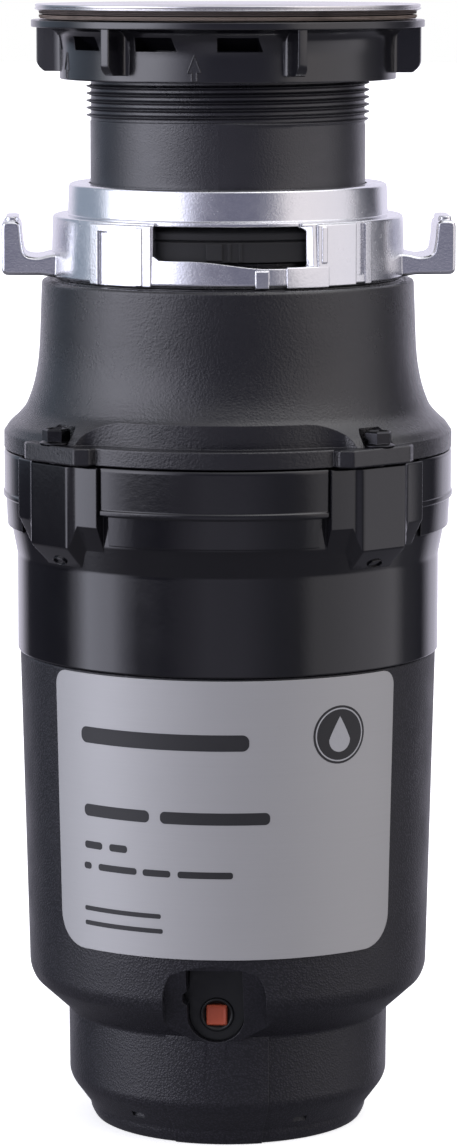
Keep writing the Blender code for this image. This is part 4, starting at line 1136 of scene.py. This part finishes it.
def quarter_bend(reach, bend, radius, steps=16):
    """Stations round the drain's bend, each with its y, its z, its slope and the tube's radius."""
    stations = []
    for step in range(steps + 1):
        slope = math.pi / 2 * step / steps
        y = reach - bend + bend * math.sin(slope)
        stations.append((y, PORT_Z - bend + bend * math.cos(slope), slope, radius))
    return stations


def drain_bend(material):
    """The discharge elbow: a flange, a smooth quarter bend, a straight end with two hose ridges."""
    start = ELBOW_START_Y
    reach, bend, radius, bore = 104.0, 26.0, 19.0, 16.6
    stations = [(start, 22.0), (start + 0.3, 22.4), (start + 1.9, 22.4), (start + 2.2, 22.1),
                (start + 2.6, 19.6), (start + 3.4, radius)]
    path = [(y, PORT_Z, 0.0, r) for y, r in stations]
    path += quarter_bend(reach, bend, radius)
    ridge = ((10.0, 0.0), (11.0, 0.0), (11.6, 0.9), (12.4, 0.9), (13.6, 0.0), (22.0, 0.0), (23.0, 0.0),
             (23.6, 0.9), (24.4, 0.9), (25.6, 0.0))
    for drop, swell in ridge:
        path.append((reach, PORT_Z - bend - drop, math.pi / 2, radius + swell))
    path += [(reach, ELBOW_LOW + 0.5, math.pi / 2, radius), (reach, ELBOW_LOW, math.pi / 2, radius - 0.5)]
    back = [(reach, ELBOW_LOW, math.pi / 2, bore + 0.4), (reach, ELBOW_LOW + 0.5, math.pi / 2, bore)]
    back += reversed(quarter_bend(reach, bend, bore))
    back.append((start, PORT_Z, 0.0, bore))
    columns = []
    steps = 72
    for step in range(steps):
        angle = 2 * math.pi * step / steps
        line = []
        for y, z, turn, r in path + back:
            up = r * math.cos(angle)
            line.append((r * math.sin(angle), y + up * math.sin(turn), z + up * math.cos(turn)))
        columns.append(line)
    dress(loose("drain_bend", wall(columns)), material, ["drain_elbow"])


PANEL_HALF = 15.2
PANEL_LOW, PANEL_LOW_Y = 33.5, -48.7
PANEL_TOP, PANEL_TOP_Y = 59.0, -60.5
RECESS_FLOOR_Y = -46.4


def panel():
    """The plain front panel: a slightly raised curved strip up the base, under a face that leans out."""
    strip = [(38.0, 0.0), (41.0, 0.0, 0.6), (42.2, 2.6, 1.0), (42.6, 4.6, 0.5), (47.8, 11.5, 1.2),
             (48.7, 14.0, 1.0), (48.8, 34.6, 0.6), (43.4, 34.6), (43.4, 14.0), (38.0, 6.0)]
    face = [(PANEL_LOW_Y, PANEL_LOW), (PANEL_TOP_Y, PANEL_TOP - 0.2), (-54.0, 59.4), (-43.4, 50.0),
            (-43.4, PANEL_LOW)]
    side = PANEL_HALF + 0.2
    front = filleted([(-6.0, 33.0), (6.0, 33.0), (side, 38.6), (side, 52.2, 4.0), (9.1, 60.9, 3.0),
                      (-9.1, 60.9, 3.0), (-side, 52.2, 4.0), (-side, 38.6)], 0.2, 4)
    leaning = shaped(seen_from_side(face, 20.0), "INTERSECT", seen_from_front(front, -70.0, -40.0),
                     rod(60.15, 20.0, 70.0, FINE_STEPS))
    return sector(filleted(strip, 0.2, 3), 0.0, 18.2, 16), leaning


def seen_from_side(outline, half):
    """A solid whose outline is seen from the side as (y, z)."""
    return stacked([[(-half, y, z) for y, z in outline], [(half, y, z) for y, z in outline]])


def seen_from_front(outline, front, back):
    """A solid whose outline is seen from the front as (x, z)."""
    return stacked([[(x, front, z) for x, z in outline], [(x, back, z) for x, z in outline]])


def keyhole(half, centre, top):
    """The reset recess: a half-round bottom under straight sides, with a small bulge at its upper left."""
    bottom = [(half * math.cos(math.radians(a)), centre + half * math.sin(math.radians(a)))
              for a in range(180, 361, 12)]
    return bottom + [(half, top), (-half, top), (-half, top - 7.0), (-half - 1.3, top - 8.2),
                     (-half - 1.3, top - 10.6), (-half, top - 11.8)]


def button_box(half, front, back=-40.0):
    """A square block on the reset button's axis."""
    return box((-half, half), (front, back), (BUTTON.z - half, BUTTON.z + half))


def shell(material):
    """The lower cover: a slightly tapered can, a chamfer, a narrow step, the base and the reset recess."""
    outline = [(28.0, 0.0), (40.2, 0.0, 0.6), (41.6, 2.4, 1.2), (42.0, 4.6, 0.5), (47.2, 11.6, 1.2),
               (48.1, 14.0, 1.0), (48.3, 34.2, 0.8), (58.6, 43.6, 1.2), (60.0, 46.9, 1.6),
               (62.4, SHELL_TOP - 0.5, 0.2), (62.1, SHELL_TOP, 0.1), (60.0, SHELL_TOP),
               (57.6, 46.8), (46.0, 36.4), (45.6, 12.6), (40.0, 5.2), (39.6, 2.8), (28.0, 2.8)]
    can = loose("lower_cover", turned(filleted(outline, 0.25, 3), FINE_STEPS))
    slope = (PANEL_TOP_Y - PANEL_LOW_Y) / (PANEL_TOP - PANEL_LOW)
    over = PANEL_TOP + 6.0
    over_y = PANEL_LOW_Y + slope * (over - PANEL_LOW)
    in_front = [(PANEL_LOW_Y, PANEL_LOW), (-80.0, PANEL_LOW), (-80.0, over), (over_y, over)]
    arch = [(-PANEL_HALF, 20.0), (PANEL_HALF, 20.0), (PANEL_HALF, 52.0, 4.0), (9.0, 60.5, 3.0),
            (-9.0, 60.5, 3.0), (-PANEL_HALF, 52.0, 4.0)]
    arched = seen_from_front(filleted(arch, 0.0, 4), -85.0, -40.0)
    cut(can, shaped(seen_from_side(in_front, PANEL_HALF + 5.0), "INTERSECT", arched))
    join(can, *panel())
    cut(can, seen_from_front(keyhole(8.3, BUTTON.z + 0.3, 57.0), -75.0, RECESS_FLOOR_Y))
    cut(can, button_box(3.5, -52.0))
    for turn, drop in ((-33.0, 0.0), (33.0, 0.4)):
        cut(can, moved(box((-2.2, 2.2), (-50.0, -43.2), (7.0 - drop, 8.6 - drop)), turn=turn))
    dress(can, material, ["lower_shell"], sharp=34.0)


def switch_pieces(switch, red):
    """The overload switch's round bezel, the recess's smooth floor and the red key that resets the switch."""
    ring = filleted([(3.6, 0.0), (5.1, 0.0, 0.1), (5.1, 0.9, 0.35), (4.4, 1.1, 0.2), (3.9, 0.7, 0.2),
                     (3.6, 0.5)], 0.1, 3)
    bezel = loose("reset_bezel", moved(tipped(turned(ring, 56), 90), 0.0, RECESS_FLOOR_Y, BUTTON.z))
    dress(bezel, switch, ())
    inside = keyhole(8.1, BUTTON.z + 0.3, 56.0)
    liner = loose("recess_liner", seen_from_front(inside, RECESS_FLOOR_Y - 0.35, RECESS_FLOOR_Y + 0.1))
    cut(liner, button_box(3.4, -52.0))
    dress(liner, switch, ())
    half = 3.05
    front = BUTTON_FRONT
    face = filleted([(-half, -half), (half, -half), (half, half), (-half, half)], 0.7, 4)
    rings = [[(x * share, front + depth, z * share + BUTTON.z) for x, z in face]
             for share, depth in ((1.0, 3.2), (1.0, 0.4), (0.86, 0.0), (0.6, 0.3))]
    key = loose("reset_key", stacked(rings))
    join(key, button_box(2.2, front + 2.6, -39.0))
    dress(key, red, ["reset_button"], "button")


LABEL_TURN, LABEL_HALF = 2.6, 51.7
TAPER_LOW, TAPER_LOW_R, TAPER_TOP_R = 46.4, 60.0, 62.4


def label_r(z):
    """Radius of the shell's tapered outside at a height."""
    share = (z - TAPER_LOW) / (SHELL_TOP - 0.5 - TAPER_LOW)
    return TAPER_LOW_R + (TAPER_TOP_R - TAPER_LOW_R) * share


def curved_patch(turns, heights, lift, thick):
    """A thin plate on the shell: for each angle, its lowest and highest point."""
    columns = []
    rows = 12
    for turn, (low, high) in zip(turns, heights):
        zs = [low + (high - low) * row / rows for row in range(rows + 1)]
        outer = [at(label_r(z) + lift + thick, turn, z) for z in zs]
        inner = [at(label_r(z) + lift, turn, z) for z in reversed(zs)]
        columns.append(outer + inner)
    return wall(columns, wrap=False)


def rounded_patch(middle, half_width, low, high, corner_low, corner_high, lift, thick):
    """A curved plate with rounded corners. Widths are in millimetres along the shell."""
    radius = label_r((low + high) / 2)
    offsets = []
    for corner in (corner_low, corner_high):
        offsets += [half_width - corner * (1 - math.sin(math.radians(a))) for a in range(0, 91, 9)]
    inner_edge = half_width - max(corner_low, corner_high)
    steps = max(1, int(inner_edge / 1.6))
    offsets += [inner_edge * step / steps for step in range(steps)]
    sides = sorted({round(x, 4) for x in offsets} | {round(-x, 4) for x in offsets})
    turns, heights = [], []
    for x in sides:
        def inset(corner):
            over = abs(x) - (half_width - corner)
            return corner - math.sqrt(max(0.0, corner * corner - over * over)) if over > 0 else 0.0
        turns.append(middle + math.degrees(x / radius))
        heights.append((low + inset(corner_low), high - inset(corner_high)))
    return curved_patch(turns, heights, lift, thick)


# The label's bars: lowest and highest point, first and last angle.
BARS = ((122.4, 127.2, -39.1, 9.6), (100.6, 104.2, -38.5, -17.7), (100.6, 104.2, -14.6, 15.3),
        (90.9, 93.1, -38.6, -32.5), (90.9, 93.1, -30.1, -24.4), (84.7, 86.7, -39.0, -36.4),
        (84.7, 86.7, -33.9, -21.6), (84.7, 86.7, -19.8, -11.8), (84.7, 86.7, -9.8, 5.3),
        (72.2, 73.6, -39.1, -14.6), (67.8, 69.2, -39.1, -14.1))
EMBLEM_TURN, EMBLEM_Z, EMBLEM_R = 35.1, 125.9, 8.6


def on_label(x, z, lift):
    """A point on the label, x millimetres round from the emblem's middle."""
    radius = label_r(z)
    return at(radius + lift, EMBLEM_TURN + math.degrees(x / radius), z)


def emblem(ink, pale):
    """A plain round emblem: a dark disc, a thin pale hoop and a pale droplet."""
    disc = rounded_patch(EMBLEM_TURN, EMBLEM_R, EMBLEM_Z - EMBLEM_R, EMBLEM_Z + EMBLEM_R, EMBLEM_R, EMBLEM_R,
                         0.7, 0.06)
    dress(loose("emblem_disc", disc), ink)
    columns = []
    steps = 96
    for step in range(steps):
        angle = 2 * math.pi * step / steps
        column = []
        for radius, lift in ((7.9, 0.8), (7.5, 0.8), (7.5, 0.74), (7.9, 0.74)):
            column.append(on_label(radius * math.cos(angle), EMBLEM_Z + radius * math.sin(angle), lift))
        columns.append(column)
    dress(loose("emblem_hoop", wall(columns)), pale)
    turns, heights = [], []
    size, centre = 3.5, EMBLEM_Z - 1.6
    for step in range(-20, 21):
        x = size * math.sin(math.pi / 2 * step / 20)
        drop = math.sqrt(max(0.0, size * size - x * x))
        tip = 7.0 * max(0.0, 1 - abs(x) / size) ** 0.85
        turns.append(EMBLEM_TURN + math.degrees(x / label_r(centre)))
        heights.append((centre - drop - 0.01, centre + max(tip, 0.5 * drop) + 0.01))
    dress(loose("emblem_droplet", curved_patch(turns, heights, 0.74, 0.06)), pale)


def badge(foil, ink, pale):
    """The grey plate round the front, with plain bars in place of its print."""
    half = math.radians(LABEL_HALF) * label_r((LABEL_LOW + LABEL_TOP) / 2)
    plate = loose("badge_plate", rounded_patch(LABEL_TURN, half, LABEL_LOW, LABEL_TOP, 10.0, 4.5, 0.2, 0.5))
    dress(plate, foil, ["label"])
    bars = []
    for low, high, first, last in BARS:
        middle, half = (first + last) / 2, math.radians((last - first) / 2) * label_r(low)
        corner = 0.42 * (high - low)
        bars.append(rounded_patch(middle, half, low, high, corner, corner, 0.7, 0.05))
    dress(loose("badge_bars", merged(*bars)), ink)
    emblem(ink, pale)


def base_pieces(black, screw_metal, green):
    """The pressed cover in the base with its cable hole, and its two slotted screws."""
    cover = loose("base_cover", turned(profile(0.01, 27.6, 0.0, 2.4, 0.4, 0.4, steps=3)))
    cut(cover, moved(rod(9.0, -2.0, 5.0), -15.0))
    for y in (WIRING_SCREW_Y, -WIRING_SCREW_Y):
        for radius, high, steps in ((4.4, 1.1, 48), (2.2, 5.0, 24)):
            cut(cover, moved(rod(radius, -2.0, high, steps), WIRING_SCREW_X, y))
    dress(cover, black, ["wiring_cover"])
    screws = (("cover_bolt", "cover_screw", WIRING_SCREW_Y, screw_metal, "zinc_steel"),
              ("earth_bolt", "ground_screw", -WIRING_SCREW_Y, green, "green_screw"))
    for name, node, y, finish, slot in screws:
        head = filleted([(0.01, 0.1), (3.6, 0.1, 0.3), (4.0, 0.5, 0.2), (4.0, 0.9), (1.9, 0.9), (1.9, 8.9),
                         (0.01, 8.9)], 0.05, 3)
        bolt = loose(name, turned(head, 48))
        cut(bolt, moved(box((-3.2, 3.2), (-0.4, 0.4), (-1.0, 0.5)), turn=30))
        bolt.data.transform(Matrix.Translation((WIRING_SCREW_X * MM, y * MM, 0.0)))
        dress(bolt, finish, [node])


def carried_nodes(finishes):
    """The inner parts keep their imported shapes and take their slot's procedural finish."""
    slots = {row["node"]: row["material_slot"] for row in frame["record"]["subparts"]}
    for name, piece in frame["nodes"].items():
        if piece.hide_render:
            continue
        piece.data.materials.clear()
        piece.data.materials.append(finishes[slots[name]])


def main():
    camera()
    studio()
    floor()
    steel = stainless()
    aluminium = cast_aluminium()
    satin = black_plastic("satin_moulding", shade=0.013, roughness=0.3, grain=1700, depth=0.1,
                          specular=0.85)
    nut_plastic = black_plastic("nut_moulding", shade=0.007, roughness=0.2, grain=1100, depth=0.01,
                                specular=0.85)
    hopper_plastic = black_plastic("hopper_moulding", shade=0.007, roughness=0.25, grain=1500, depth=0.15,
                                   specular=0.75)
    gloss = black_plastic("glossy_moulding", shade=0.005, roughness=0.13, grain=700, depth=0.012, coat=0.3)
    leather = leather_plastic()
    black_rubber = rubber()
    seal = fibre("seal_board", (0.06, 0.05, 0.045), (0.16, 0.13, 0.115))
    board = fibre("clamping_board", (0.17, 0.135, 0.11), (0.38, 0.31, 0.265))
    zinc = plain_metal("zinc_plate", (0.42, 0.42, 0.43), (0.6, 0.6, 0.62), 0.32)
    black_metal = plain_metal("blackened_steel", (0.02, 0.02, 0.022), (0.06, 0.06, 0.065), 0.28)
    dark = painted("dark_moulding", (0.004, 0.005, 0.004), (0.008, 0.009, 0.008), 0.35)
    red = painted("red_key", (0.42, 0.075, 0.035), (0.55, 0.11, 0.05), 0.38)
    green = painted("green_screw_paint", (0.02, 0.2, 0.06), (0.05, 0.32, 0.1), 0.35)
    ink = print_ink("dark_ink", (0.012, 0.012, 0.013), (0.03, 0.03, 0.032))
    pale = print_ink("pale_ink", (0.42, 0.425, 0.43), (0.5, 0.505, 0.51))
    sink_flange(steel)
    gaskets(seal, board)
    threaded_throat(satin)
    wing_nut(nut_plastic)
    baffle(black_rubber)
    hook_ring(aluminium)
    cushion(black_rubber)
    feed_hopper(hopper_plastic)
    inlet_plug(satin)
    hopper_bolts(black_metal)
    glossy_housing(gloss)
    drain_fitting(black_rubber, zinc, satin)
    shell(leather)
    switch_pieces(dark, red)
    badge(label_foil(), ink, pale)
    base_pieces(black_metal, zinc, green)
    carried_nodes({
        "stainless": steel, "black_rubber": black_rubber, "cast_aluminium": aluminium, "zinc_steel": zinc,
        "motor_steel": laminated_steel(), "copper": wound_copper(), "dark_plastic": dark,
        "ferrite": painted("ferrite", (0.05, 0.05, 0.055), (0.1, 0.1, 0.105), 0.6),
        "circuit_board": painted("circuit_board", (0.01, 0.11, 0.04), (0.03, 0.2, 0.08), 0.35)})


main()
